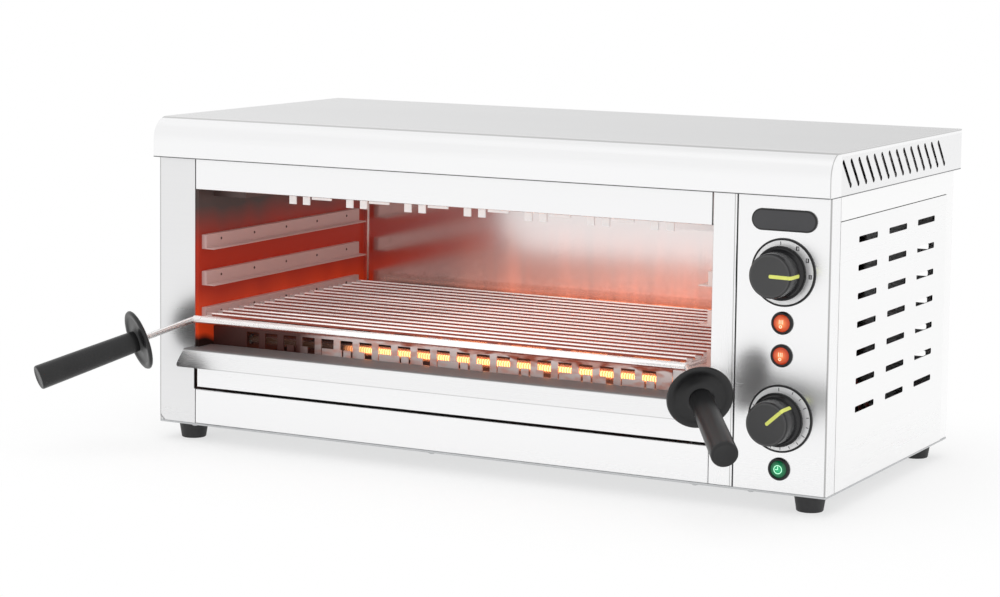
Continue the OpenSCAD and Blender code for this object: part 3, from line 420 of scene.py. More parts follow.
def turned_metal(name, tone, roughness, centre, metal=0.35):
    """Satin aluminium with fine rings about a dial's centre."""
    material, tree, shader = start_material(name)
    rings = add(
        tree, "TexWave", {"Vector": here(tree, centre=centre), "Scale": 420.0, "Distortion": 0.4},
        wave_type="RINGS", rings_direction="Y", wave_profile="SIN"
    ).outputs["Fac"]
    base = blend_of(tree, rings, rgba(tone, 0.9), rgba(tone))
    tree.links.new(base, shader.inputs["Base Color"])
    tree.links.new(spread(tree, rings, roughness, roughness + 0.08), shader.inputs["Roughness"])
    shader.inputs["Metallic"].default_value = metal
    bump(tree, shader, rings, 0.00002, 0.4)
    return material


def lit_lens(name, edge, core, strength, centre, radius):
    """A clear coloured lens with a lamp behind it: pale in the middle, deep at the edge."""
    material, tree, shader = start_material(name)
    away = length_of(tree, here(tree, centre=centre))
    cells = noise(tree, here(tree), 900.0, 1.0)
    near = add(
        tree, "Math", {0: fall(tree, away, 0.1 * radius, 0.95 * radius), 1: 1.5}, operation="POWER"
    ).outputs[0]
    shade = blend_of(tree, near, rgba(edge), rgba(core))
    tree.links.new(shade, shader.inputs["Base Color"])
    tree.links.new(shade, shader.inputs["Emission Color"])
    light = times(tree, spread(tree, near, 0.25, 1.0), strength)
    tree.links.new(light, shader.inputs["Emission Strength"])
    shader.inputs["Roughness"].default_value = 0.14
    bump(tree, shader, cells, 0.00003, 0.4)
    return material


def hot_coil(name, strength, cold_end):
    """The turns of a hot coil; towards its cold end the glow fades to a dull red."""
    heat = settings().heat
    material, tree, shader = start_material(name)
    turns = add(
        tree, "TexWave", {"Vector": here(tree), "Scale": 0.314 / heat.coil_pitch, "Distortion": 0.0},
        wave_type="BANDS", bands_direction="X", wave_profile="SIN"
    ).outputs["Fac"]
    along = axes(tree)["X"]
    patches = noise(tree, here(tree, (9.0, 9.0, 9.0)), 1.0, 1.0)
    shade = blend_of(tree, turns, rgba(heat.glow), rgba(heat.core))
    tree.links.new(shade, shader.inputs["Emission Color"])
    tree.links.new(blend_of(tree, turns, rgba(heat.soot_and_shade), rgba(heat.rail)), shader.inputs["Base Color"])
    level = times(tree, spread(tree, turns, 0.5, 1.0), spread(tree, patches, 0.8, 1.15, 0.3, 0.7))
    warm = spread(tree, along, 0.03, strength, cold_end, cold_end + 0.03)
    tree.links.new(times(tree, level, warm), shader.inputs["Emission Strength"])
    shader.inputs["Roughness"].default_value = 0.5
    bump(tree, shader, turns, 0.0002, 0.5)
    chill = fall(tree, along, cold_end, cold_end + 0.03)
    base = shader.inputs["Base Color"]
    tree.links.new(blend_of(tree, chill, base.links[0].from_socket, (0.02, 0.009, 0.008, 1)), base)
    return material


def quartz(name, strength, cold_end):
    """Clear quartz with a faint milky veil that takes up some of the hot coil's light."""
    heat = settings().heat
    material, tree, shader = start_material(name)
    veil = noise(tree, here(tree, (20.0, 60.0, 60.0)), 1.0, 2.0)
    tree.links.new(blend_of(tree, veil, rgba(heat.rail), rgba(heat.guard)), shader.inputs["Base Color"])
    along = axes(tree)["X"]
    milk = times(tree, spread(tree, veil, 0.16, 0.30, 0.3, 0.7),
                     spread(tree, along, 0.3, 1.0, cold_end, cold_end + 0.03))
    tree.links.new(milk, shader.inputs["Alpha"])
    shader.inputs["Emission Color"].default_value = rgba(heat.glow)
    light = spread(tree, along, 0.0, strength, cold_end, cold_end + 0.03)
    tree.links.new(light, shader.inputs["Emission Strength"])
    shader.inputs["Roughness"].default_value = 0.08
    bump(tree, shader, veil, 0.00002, 0.3)
    return material


def hot_liner(name, metal, roughness, steps, glow=0.0, along="Z", ripple=0.1, gloss=0.5):
    """Cavity steel whose colour changes with height: the steps are (height in mm, colour). A glow makes the
    steel emit its own colour as painted light.
    """
    material, tree, shader = start_material(name)
    marks, cloud = brush_marks(tree, along, 0.8)
    height = axes(tree)["Z"]
    wander = math_node(tree, "ADD", height, spread(tree, cloud, -0.010, 0.010, 0.2, 0.8))
    low, high = steps[0][0], steps[-1][0]
    ramp = add(tree, "ValToRGB", {0: rise(tree, wander, low * MM, high * MM)})
    stops = ramp.color_ramp.elements
    stops[0].color = rgba(steps[0][1])
    stops[1].color = rgba(steps[-1][1])
    for level, tone in steps[1:-1]:
        stop = stops.new((level - low) / (high - low))
        stop.color = rgba(tone)
    base = blend_of(tree, spread(tree, marks, 0.06, 0.0, 0.3, 0.7), ramp.outputs["Color"], (0, 0, 0, 1))
    tree.links.new(base, shader.inputs["Base Color"])
    shader.inputs["Metallic"].default_value = metal
    shader.inputs["Specular IOR Level"].default_value = gloss
    rough = spread(tree, marks, roughness - 0.03, roughness + 0.04, 0.3, 0.7)
    tree.links.new(rough, shader.inputs["Roughness"])
    if glow:
        tree.links.new(base, shader.inputs["Emission Color"])
        shader.inputs["Emission Strength"].default_value = glow
    bump(tree, shader, marks, 0.00006, ripple)
    return material


def paint_tube_glow(material, tone, strength, low, high, left, right):
    """Adds painted light of the tubes: a glow that fades upwards from one height to another and grows from
    left to right.
    """
    tree = material.node_tree
    shader = tree.nodes["Principled BSDF"]
    parts = axes(tree)
    streaks = noise(tree, here(tree, (70.0, 70.0, 5.0)), 1.0, 2.0)
    glow = spread(tree, parts["Z"], strength, 0.0, low, high)
    glow = times(tree, glow, spread(tree, streaks, 0.55, 1.25, 0.3, 0.7))
    shader.inputs["Emission Color"].default_value = rgba(tone)
    light = times(tree, glow, rise(tree, parts["X"], left, right))
    tree.links.new(light, shader.inputs["Emission Strength"])


def side_shade(material, tone, start, end):
    """Mixes a tone into a material beyond one place along the cabinet, fading until another."""
    tree = material.node_tree
    along = axes(tree)["X"]
    darken(material, rise(tree, along, start, end), tone)


def used_tray(name, tone, roughness, level, lines=()):
    """Brushed steel outside; the lip's top and the sheet just inside are grey, a painted reflection of the
    dark cavity, and further inside the cabinet the same sheet is browned by heat.
    """
    heat = settings().heat
    material, tree, shader = start_material(name)
    fine, wide = brush_marks(tree, "X", settings().steel.streak)
    parts = axes(tree, (0, FACE_Y, 0))
    inside = rise(tree, parts["Y"], -0.0180, -0.0172)
    inside = times(tree, inside, rise(tree, parts["Z"], level - 0.0016, level - 0.0008))
    inside = math_node(tree, "MAXIMUM", inside, rise(tree, parts["Y"], 0.0008, 0.0016))
    clean = blend_of(tree, rise(tree, fine, 0.3, 0.7), rgba(tone, 0.978), rgba(tone))
    for line in lines:
        clean = blend_of(tree, seam_mask(tree, *line), clean, rgba(tone, 0.72))
    # Painted reflection of the dark cavity in grey near the front, heat browning further in.
    reflection_grey = blend_of(tree, rise(tree, wide, 0.3, 0.7), (0.17, 0.165, 0.165, 1), (0.23, 0.225, 0.225, 1))
    browned = blend_of(tree, rise(tree, wide, 0.3, 0.7), rgba(heat.soot_and_shade), rgba(heat.rail, 0.4))
    worn = blend_of(tree, rise(tree, parts["Y"], 0.020, 0.045), reflection_grey, browned)
    tree.links.new(blend_of(tree, inside, clean, worn), shader.inputs["Base Color"])
    rough = math_node(tree, "ADD", spread(tree, fine, roughness - 0.02, roughness + 0.02, 0.3, 0.7),
                      spread(tree, inside, 0.0, 0.3))
    tree.links.new(rough, shader.inputs["Roughness"])
    tree.links.new(spread(tree, inside, 1.0, 0.3), shader.inputs["Metallic"])
    bump(tree, shader, fine, 0.000002, 0.04)
    return material


# Making pieces


def sharp_edges(mesh, degrees):
    """Edges of a bmesh that are folded by more than an angle."""
    limit = math.radians(degrees)
    return [e for e in mesh.edges if len(e.link_faces) == 2 and e.calc_face_angle(0.0) > limit]


def finish_piece(name, mesh, material, body, nodes=(), smooth=35.0, weigh=False):
    """Turns a bmesh into an object that rides on a body and stands for CAD nodes."""
    data = bpy.data.meshes.new(name)
    mesh.to_mesh(data)
    mesh.free()
    data.shade_smooth()
    data.set_sharp_from_angle(angle=math.radians(smooth))
    data.materials.append(material)
    piece = bpy.data.objects.new(name, data)
    bpy.context.scene.collection.objects.link(piece)
    if weigh:
        piece.modifiers.new("Weighted normals", "WEIGHTED_NORMAL").keep_sharp = True
    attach(piece, body)
    if nodes:
        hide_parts(*nodes)
    return piece


def merged_copy(node):
    """A bmesh of a CAD node with its loose triangles joined into whole faces."""
    mesh = bmesh.new()
    mesh.from_mesh(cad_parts[node].data)
    bmesh.ops.remove_doubles(mesh, verts=mesh.verts, dist=MERGE_DISTANCE)
    bmesh.ops.dissolve_limit(
        mesh, angle_limit=math.radians(0.4), verts=mesh.verts, edges=mesh.edges, delimit={"NORMAL"}
    )
    return mesh


def bevel(mesh, edges, radius, segments=2):
    if edges:
        bmesh.ops.bevel(
            mesh, geom=edges, offset=radius, offset_type="OFFSET", affect="EDGES", segments=segments,
            profile=0.5, material=-1, clamp_overlap=True
        )


def rounded_sheet(node, material, body="cabinet", radius=None, folds=None):
    """A folded sheet from its CAD node; the folds, the front's seams and the cut edges are rounded."""
    steel = settings().steel
    mesh = merged_copy(node)
    if folds:
        picked = [e for e in sharp_edges(mesh, SHARP_FOLD) if folds(edge_middle(e), edge_way(e))]
        bevel(mesh, picked, steel.bend, 4)
    if radius is None:
        picked = [e for e in sharp_edges(mesh, SHARP_FOLD) if on_front(e)]
        bevel(mesh, picked, steel.seam, 3)
        radius = steel.edge
    bevel(mesh, sharp_edges(mesh, SHARP_FOLD), radius, 2)
    return finish_piece(node + "_sheet", mesh, material, body, (node,), 40.0, True)


def edge_middle(edge):
    return (edge.verts[0].co + edge.verts[1].co) / 2


def edge_way(edge):
    return (edge.verts[1].co - edge.verts[0].co).normalized()


def on_front(edge):
    """True for an edge that lies in the plane of the cabinet's front or of its right side."""
    front = all(abs(v.co.y - FACE_Y) < 0.00002 for v in edge.verts)
    side = all(abs(v.co.x - PANEL_HIGH.x) < 0.00002 for v in edge.verts)
    return front or side


def smooth_copy(node, material, body, suffix, smooth=40.0):
    """A CAD node's own shape with smooth curved faces."""
    mesh = bmesh.new()
    mesh.from_mesh(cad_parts[node].data)
    bmesh.ops.remove_doubles(mesh, verts=mesh.verts, dist=MERGE_DISTANCE)
    return finish_piece(node + suffix, mesh, material, body, (node,), smooth)


def repaint(node, material):
    """Gives a CAD node, whose shape is right, its finish."""
    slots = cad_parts[node].material_slots
    for slot in slots:
        slot.material = material


def spun(profile, centre, axis=(0, -1, 0), steps=96):
    """A bmesh turned about an axis through a centre; the profile is (radius, height) in mm."""
    mesh = bmesh.new()
    corners = [mesh.verts.new((r * MM, 0.0, h * MM)) for r, h in profile]
    edges = [mesh.edges.new(pair) for pair in zip(corners, corners[1:])]
    bmesh.ops.spin(
        mesh, geom=corners + edges, cent=(0, 0, 0), axis=(0, 0, 1), angle=math.tau, steps=steps,
        use_merge=True, use_duplicate=False
    )
    bmesh.ops.remove_doubles(mesh, verts=mesh.verts, dist=0.000001)
    bmesh.ops.recalc_face_normals(mesh, faces=mesh.faces)
    turn = Vector((0, 0, 1)).rotation_difference(Vector(axis)).to_matrix().to_4x4()
    bmesh.ops.transform(mesh, matrix=Matrix.Translation(centre) @ turn, verts=mesh.verts)
    return mesh


def join(target, source):
    """Adds one bmesh to another and frees it."""
    data = bpy.data.meshes.new("part")
    source.to_mesh(data)
    source.free()
    target.from_mesh(data)
    bpy.data.meshes.remove(data)


def ring(centre, inner, outer, thick, steps=32):
    """A flat ring on the front, in mm."""
    profile = [(inner, 0), (outer, 0), (outer, thick), (inner, thick), (inner, 0)]
    return spun(profile, centre, steps=steps)


def bar(centre, length_mm, width_mm, thick_mm, degrees, reach_mm=0.0):
    """A thin bar on the front that points away from a centre, clockwise from the top."""
    mesh = bmesh.new()
    bmesh.ops.create_cube(mesh, size=1.0)
    bmesh.ops.scale(mesh, vec=(width_mm * MM, thick_mm * MM, length_mm * MM), verts=mesh.verts)
    bmesh.ops.translate(
        mesh, vec=(0, -thick_mm * MM / 2, (reach_mm + length_mm / 2) * MM), verts=mesh.verts
    )
    turn = Matrix.Rotation(math.radians(degrees), 4, "Y")
    bmesh.ops.transform(mesh, matrix=Matrix.Translation(centre) @ turn, verts=mesh.verts)
    return mesh


# Operators


class MELTER_OT_stage(Operator):
    """Makes the camera at the photograph's angle, the floor, the sky and the soft box"""

    bl_idname = "melter.stage"
    bl_label = "Stage"

    def execute(self, context):
        look = settings().stage
        self.camera(context, look)
        self.floor(context, look)
        self.sky(context, look)
        self.soft_box(context, look)
        context.scene.view_settings.view_transform = "Standard"
        return {"FINISHED"}

    def camera(self, context, look):
        data = bpy.data.cameras.new("camera")
        data.lens = look.focal
        data.sensor_width = 36.0
        data.sensor_fit = "HORIZONTAL"
        data.shift_y = (look.axis_row - PHOTO_HEIGHT / 2) / PHOTO_WIDTH
        forward = Vector((
            -math.sin(look.yaw) * math.cos(look.pitch),
            math.cos(look.yaw) * math.cos(look.pitch),
            -math.sin(look.pitch),
        ))
        right = Vector((math.cos(look.yaw), math.sin(look.yaw), 0.0))
        up = right.cross(forward)
        across = right * math.cos(look.roll) + up * math.sin(look.roll)
        above = up * math.cos(look.roll) - right * math.sin(look.roll)
        turn = Matrix((across, above, -forward)).transposed()
        camera = bpy.data.objects.new("camera", data)
        place = Vector((BODY_LEFT, FACE_Y, 0.0)) + Vector(look.centre)
        camera.matrix_world = Matrix.Translation(place) @ turn.to_4x4()
        context.scene.collection.objects.link(camera)
        context.scene.camera = camera

    def floor(self, context, look):
        reach = 8.0
        mesh = bmesh.new()
        bmesh.ops.create_grid(mesh, x_segments=1, y_segments=1, size=reach)
        data = bpy.data.meshes.new("floor")
        mesh.to_mesh(data)
        mesh.free()
        material, tree, shader = start_material("studio floor")
        soft = noise(tree, here(tree), 0.6, 1.0)
        base = blend_of(tree, soft, rgba(look.floor, 0.995), rgba(look.floor))
        tree.links.new(base, shader.inputs["Base Color"])
        shader.inputs["Roughness"].default_value = 0.9
        shader.inputs["Specular IOR Level"].default_value = 0.1
        path = add(tree, "LightPath")
        viewed = math_node(tree, "MAXIMUM", path.outputs["Is Camera Ray"], path.outputs["Is Glossy Ray"])
        viewed = math_node(tree, "MAXIMUM", viewed, path.outputs["Is Transmission Ray"])
        low, high = vectors(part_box("base_plate"))
        parts = axes(tree, (low + high) / 2)
        past_x = math_node(tree, "SUBTRACT", size_of(tree, parts["X"]), (high.x - low.x) / 2)
        past_y = math_node(tree, "SUBTRACT", size_of(tree, parts["Y"]), (high.y - low.y) / 2)
        past = math_node(tree, "MAXIMUM", past_x, past_y)
        share = times(tree, viewed, spread(tree, past, look.bare, 1.0, 0.0, look.shadow))
        white = add(tree, "Emission", {"Color": (1, 1, 1, 1), "Strength": 1.0}).outputs[0]
        mixed = add(tree, "MixShader", {0: share, 1: shader.outputs[0], 2: white}).outputs[0]
        tree.links.new(mixed, tree.nodes["Material Output"].inputs["Surface"])
        data.materials.append(material)
        floor = bpy.data.objects.new("floor", data)
        context.scene.collection.objects.link(floor)

    def sky(self, context, look):
        world = bpy.data.worlds.new("studio")
        context.scene.world = world
        world.use_nodes = True
        tree = world.node_tree
        light = tree.nodes["Background"]
        direction = add(tree, "TexCoord").outputs["Generated"]
        parts = add(tree, "SeparateXYZ", {0: direction})
        back = self.dome(tree, parts, ((-90, 0.95), (-2, 0.92), (1, 0.78), (8, 0.78), (14, 1.0), (90, 1.0)))
        front = self.dome(
            tree, parts, ((-90, 0.95), (-2, 0.95), (4, 0.98), (22, 0.94), (48, 0.94), (64, 1.0)))
        turn = add(tree, "CombineColor")
        for channel in ("Red", "Green", "Blue"):
            tree.links.new(spread(tree, parts.outputs["X"], 1.0, 0.84, -0.62, -0.28), turn.inputs[channel])
        back = blend_of(tree, 1.0, back, turn.outputs[0], "MULTIPLY")
        shade = blend_of(tree, rise(tree, parts.outputs["Y"], -0.25, 0.25), front, back)
        shade = blend_of(tree, rise(tree, parts.outputs["X"], 0.2, 0.5), shade, (1, 1, 1, 1))
        seen = add(tree, "LightPath").outputs["Is Camera Ray"]
        tree.links.new(blend_of(tree, seen, shade, (1, 1, 1, 1)), light.inputs["Color"])
        light.inputs["Strength"].default_value = look.sky

    def dome(self, tree, parts, steps):
        """Grey levels that change with the elevation in degrees."""
        ramp = add(tree, "ValToRGB", {0: rise(tree, parts.outputs["Z"], -1.0, 1.0)})
        stops = ramp.color_ramp.elements
        for i, (degrees, level) in enumerate(steps):
            place = (math.sin(math.radians(degrees)) + 1.0) / 2.0
            stop = stops[i] if i < 2 else stops.new(place)
            stop.position = place
            stop.color = (level, level, level, 1)
        return ramp.outputs["Color"]

    def soft_box(self, context, look):
        data = bpy.data.lights.new("soft box", "AREA")
        data.shape = "RECTANGLE"
        data.size = 2.4
        data.size_y = 1.6
        data.energy = look.box
        lamp = bpy.data.objects.new("soft box", data)
        lamp.location = (-0.3, -0.4, 2.2)
        lamp.visible_glossy = False
        context.scene.collection.objects.link(lamp)


class MELTER_OT_shell(Operator):
    """Rounds the folds and edges of the cabinet's sheets and brushes them"""

    bl_idname = "melter.shell"
    bl_label = "Shell"

    def execute(self, context):
        look = settings().steel
        header = [corner[0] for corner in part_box("header_panel")]
        level = brushed("brushed steel level", "X", look.tone, look.roughness)
        front = brushed("brushed steel header", "X", look.tone, look.roughness, (
            ("X", header[0], 0.0007), ("X", header[1], 0.0007)))
        upright = brushed("brushed steel upright", "Z", look.tone, look.roughness)
        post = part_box("middle_post")[1][0]
        # A grey line beside the middle post's right edge is painted shade of its fold.
        darken(upright, seam_mask(upright.node_tree, "X", post - 0.0019, 0.0004), (0.55, 0.55, 0.55))
        panel = brushed("brushed steel controls", "X", look.tone, look.roughness, (
            ("Y", PANEL_HIGH.y, 0.0006), ("X", PANEL_LOW.x, 0.0006)))
        # A grey line beside the control panel's right corner is painted shade of its bend.
        darken(panel, seam_mask(panel.node_tree, "X", PANEL_HIGH.x - 0.0014, 0.0007), (0.48, 0.48, 0.48))
        # Painted light and shade: the right side's sheets are a lighter copy of the steel as lit, and the
        # left side panel a darker copy as shaded.
        bright = [min(1.0, 1.05 * c) for c in look.tone]
        side = brushed("brushed steel side painted lighter", "Y", bright, look.roughness + 0.04)
        louvre = brushed("brushed steel louvre painted lighter", "Y", bright, look.roughness + 0.04)
        shade_slot_walls(louvre, PANEL_HIGH.x, 0.0014, 1.0)
        shaded = brushed("brushed steel left painted darker", "X", [0.88 * c for c in look.tone], look.roughness + 0.04)
        # A grey line along the left post's outer corner is painted shade of its fold.
        darken(shaded, seam_mask(shaded.node_tree, "X", BODY_LEFT + 0.0008, 0.0005), (0.50, 0.50, 0.50))
        # A black line on the left panel beside the tray, between the plinth and the tray lip, is painted
        # shade in the gap.
        tree = shaded.node_tree
        height = axes(tree)["Z"]
        beside = seam_mask(tree, "X", header[0] - 0.0004, 0.0010)
        for place, below in ((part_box("plinth_panel")[1][2], 0.0), (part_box("tray_lip")[0][2], 1.0)):
            beside = times(tree, beside, spread(tree, height, below, 1.0 - below, place, place + 0.0003))
        darken(shaded, beside, (0.02, 0.02, 0.02))
        zinc = plated("zinc plating", (0.60, 0.61, 0.62), 0.34)
        corner = Vector((PANEL_HIGH.x, FACE_Y, 0.0))

        def right_corner(point, way):
            return abs(way.z) > 0.9 and (point.xy - corner.xy).length < 0.0002

        def left_corner(point, way):
            return abs(way.z) > 0.9 and (point.xy - Vector((BODY_LEFT, FACE_Y))).length < 0.0002

        rounded_sheet("control_panel", panel, folds=right_corner)
        rounded_sheet("left_side_panel", shaded, folds=left_corner)
        rounded_sheet("header_panel", front)
        rounded_sheet("middle_post", upright)
        rounded_sheet("plinth_panel", level)
        rounded_sheet("right_side_frame", side)
        rounded_sheet("right_louvre_panel", louvre, radius=0.0002)
        rounded_sheet("back_panel", level, radius=0.0002)
        rounded_sheet("base_plate", zinc)
        rounded_sheet("cover_brackets", zinc)
        self.cover(look)
        for node in ("cover_screws", "base_screws", "foot_screws", "foot_nuts"):
            smooth_copy(node, zinc, "cabinet", "_heads")
        for node in ("bay_partition", "tray_runners"):
            repaint(node, zinc)
        return {"FINISHED"}

    def cover(self, look):
        """The cover with its rolled front, its side vents and softened rims."""
        low, high = vectors(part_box("top_cover"))
        # Painted shade on the cover: a dark line along the skirt's lower edge, a grey line just under the
        # top, and a grey line near the right end.
        steel = brushed("brushed steel cover", "X", look.tone, 0.16, (("Z", low.z, 0.0008),))
        tree = steel.node_tree
        darken(steel, seam_mask(tree, "Z", high.z - 0.0008, 0.0006), (0.56, 0.56, 0.56))
        darken(steel, seam_mask(tree, "X", high.x - 0.0011, 0.0004), (0.55, 0.55, 0.55))
        shade_slot_walls(steel, high.x, 0.0016, high.z)
        rim_radius = 0.00045
        mesh = merged_copy("top_cover")
        bevel(mesh, sharp_edges(mesh, SHARP_FOLD), rim_radius, 3)
        finish_piece("top_cover_sheet", mesh, steel, "cabinet", ("top_cover",), 40.0, True)


class MELTER_OT_cavity(Operator):
    """Finishes the cavity's walls, rails, heater boxes and guards, and adds the rails' rivets"""

    bl_idname = "melter.cavity"
    bl_label = "Cavity"

    def execute(self, context):
        heat = settings().heat
        low, high = vectors(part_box("cavity_back_wall"))
        centre = (low + high) / 2
        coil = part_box("lower_heating_coils")[0][0]
        # Left wall: near black below the tray lip as painted shade, an orange band above the lower tubes as
        # painted light, and an emission that makes the wall glow as painted light of the tubes.
        wall = hot_liner("tinted liner with painted light and shade", 0.0, 0.34, (
            (60, (0.012, 0.005, 0.004)), (88, (0.012, 0.005, 0.004)), (94, heat.tube_lit_band), (112, heat.tube_lit_band),
            (135, heat.red), (172, heat.red), (210, heat.soot_and_shade), (226, heat.soot_and_shade)), 0.45, gloss=0.2)
        back = hot_liner("clean liner with painted glow", 1.0, 0.17, (
            (88, (0.80, 0.42, 0.33)), (120, (0.84, 0.62, 0.57)), (160, heat.liner), (226, heat.liner)),
            along="X", ripple=1.0)
        cold_end = coil + heat.cold
        # Painted light: a glow low on the back wall over the tubes' hot length.
        paint_tube_glow(back, heat.bloom, heat.bloom_strength, 0.10, 0.19, cold_end - 0.04, cold_end + 0.04)
        right = hot_liner("right liner", 1.0, 0.2, (
            (88, (0.70, 0.36, 0.28)), (130, (0.80, 0.60, 0.55)), (226, heat.liner)), gloss=0.2)
        # The right wall's outer face, in the service bay, is painted black as shade.
        hidden = axes(right.node_tree)["X"]
        wall_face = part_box("cavity_right_wall")[0][0]
        darken(right, rise(right.node_tree, hidden, wall_face + 0.0004, wall_face + 0.0008),
               (0.01, 0.01, 0.01))
        # The rails' emission is a painted glow of the tubes' light.
        rail = hot_liner("rail steel", 0.2, 0.4, ((100, heat.rail), (190, heat.rail)), 0.16)
        # The lower guard's emission is a painted glow of the tubes' light.
        lower_guard = hot_liner("lower guard steel", 0.25, 0.4, (
            (76, (0.50, 0.46, 0.45)), (88, (0.60, 0.50, 0.48)), (100.6, heat.guard),
            (102, (0.34, 0.07, 0.035)), (103, (0.34, 0.07, 0.035))), 0.12)
        tree = lower_guard.node_tree
        patches = noise(tree, here(tree, (75.0, 75.0, 160.0)), 1.0, 1.0)
        darken(lower_guard, rise(tree, patches, 0.45, 0.65), (0.60, 0.34, 0.29))
        # Painted shade: the guard turns dark over the coils' cold length, where the tubes give little light.
        side_shade(lower_guard, (0.07, 0.022, 0.017), cold_end, cold_end - 0.04)
        upper_guard = hot_liner("upper guard steel", 0.25, 0.4, (
            (210, (0.93, 0.92, 0.91)), (230, (0.90, 0.88, 0.87))))
        dark = hot_liner("heater box steel", 0.3, 0.36, (
            (70, (0.10, 0.035, 0.028)), (230, (0.085, 0.055, 0.05))))
        # Painted light and shade: the same boxes are pale right of the middle and dark at the left.
        side_shade(dark, heat.liner, centre.x, centre.x + 0.02)
        # The top reflector's emission is a painted glow of the upper tubes' light.
        warm = hot_liner("reflector steel", 1.0, 0.3, ((200, heat.liner), (260, heat.liner)), heat.reflector)
        repaint("cavity_left_wall", wall)
        repaint("cavity_right_wall", right)
        repaint("cavity_back_wall", back)
        repaint("top_reflector", warm)
        # The right rails take a lighter copy of the rail steel as painted light.
        lit_rail = hot_liner("lit rail steel", 0.3, 0.4, (
            (100, (0.70, 0.40, 0.34)), (190, (0.80, 0.66, 0.62))), 0.12)
        for node, finish in (("left_rails", rail), ("right_rails", lit_rail)):
            rounded_sheet(node, finish, radius=0.0003)
        for node in ("upper_end_boxes", "lower_end_boxes"):
            rounded_sheet(node, dark, radius=0.0003)
        repaint("upper_heater_guard", upper_guard)
        repaint("lower_heater_guard", lower_guard)
        self.rivets(dark)
        self.corner_trim()
        return {"FINISHED"}

    def corner_trim(self):
        """A bright folded edge that stands in the cavity's rear left corner."""
        wall_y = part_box("cavity_back_wall")[0][1]
        rail_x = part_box("left_rails")[0][0]
        steel = brushed("corner edge steel", "Z", (0.9, 0.8, 0.76), 0.3)
        width, thickness, rounding = 0.0026, 0.0012, 0.0004
        mesh = bmesh.new()
        bmesh.ops.create_cube(mesh, size=1.0)
        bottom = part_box("lower_end_boxes")[1][2] + 0.001
        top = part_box("upper_end_boxes")[0][2] - 0.001
        bmesh.ops.scale(mesh, vec=(width, thickness, top - bottom), verts=mesh.verts)
        place = Vector((rail_x + 0.0034, wall_y - 0.0008, (top + bottom) / 2))
        bmesh.ops.translate(mesh, vec=place, verts=mesh.verts)
        bevel(mesh, mesh.edges[:], rounding, 2)
        finish_piece("corner_trim", mesh, steel, "cabinet")

    def rivets(self, material):
        """Five small rivets in each rail's face."""
        whole = bmesh.new()
        for node, facing in (("left_rails", 1), ("right_rails", -1)):
            low, high = vectors(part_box(node))
            ledge = 8.5 * MM
            face = high.x - ledge if facing > 0 else low.x + ledge
            levels = 3
            height = 12.8 * MM
            pitch = (high.z - low.z - height) / (levels - 1)
            for level in range(levels):
                for i in range(5):
                    y = low.y + (high.y - low.y) * (0.09 + 0.205 * i)
                    place = (face, y, low.z + level * pitch + 0.6 * height)
                    profile = [(0, 0.7), (0.8, 0.55), (1.3, 0.0), (0.9, -0.3), (0, -0.3)]
                    join(whole, spun(profile, place, (facing, 0, 0), 16))
        finish_piece("rail_rivets", whole, material, "cabinet")


class MELTER_OT_heaters(Operator):
    """Lights the quartz tubes and finishes their coils and ceramic caps"""

    bl_idname = "melter.heaters"
    bl_label = "Heaters"

    def execute(self, context):
        heat = settings().heat
        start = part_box("lower_heating_coils")[0][0]
        ceramic = speckled("unglazed ceramic", (0.80, 0.77, 0.70), 0.7, 0.0012, 0.0001, 1.1)
        banks = (("lower", heat.lower_strength, start + heat.cold), ("upper", heat.upper_strength, start))
        for bank, strength, cold in banks:
            glass = quartz(bank + " quartz", 0.04 * strength, cold)
            coil = hot_coil(bank + " coil", strength, cold)
            smooth_copy(bank + "_quartz_tubes", glass, "cabinet", "_clear")
            smooth_copy(bank + "_heating_coils", coil, "cabinet", "_lit")
        for node in ("upper_ceramic_caps", "lower_ceramic_caps"):
            smooth_copy(node, ceramic, "cabinet", "_smooth")
        return {"FINISHED"}


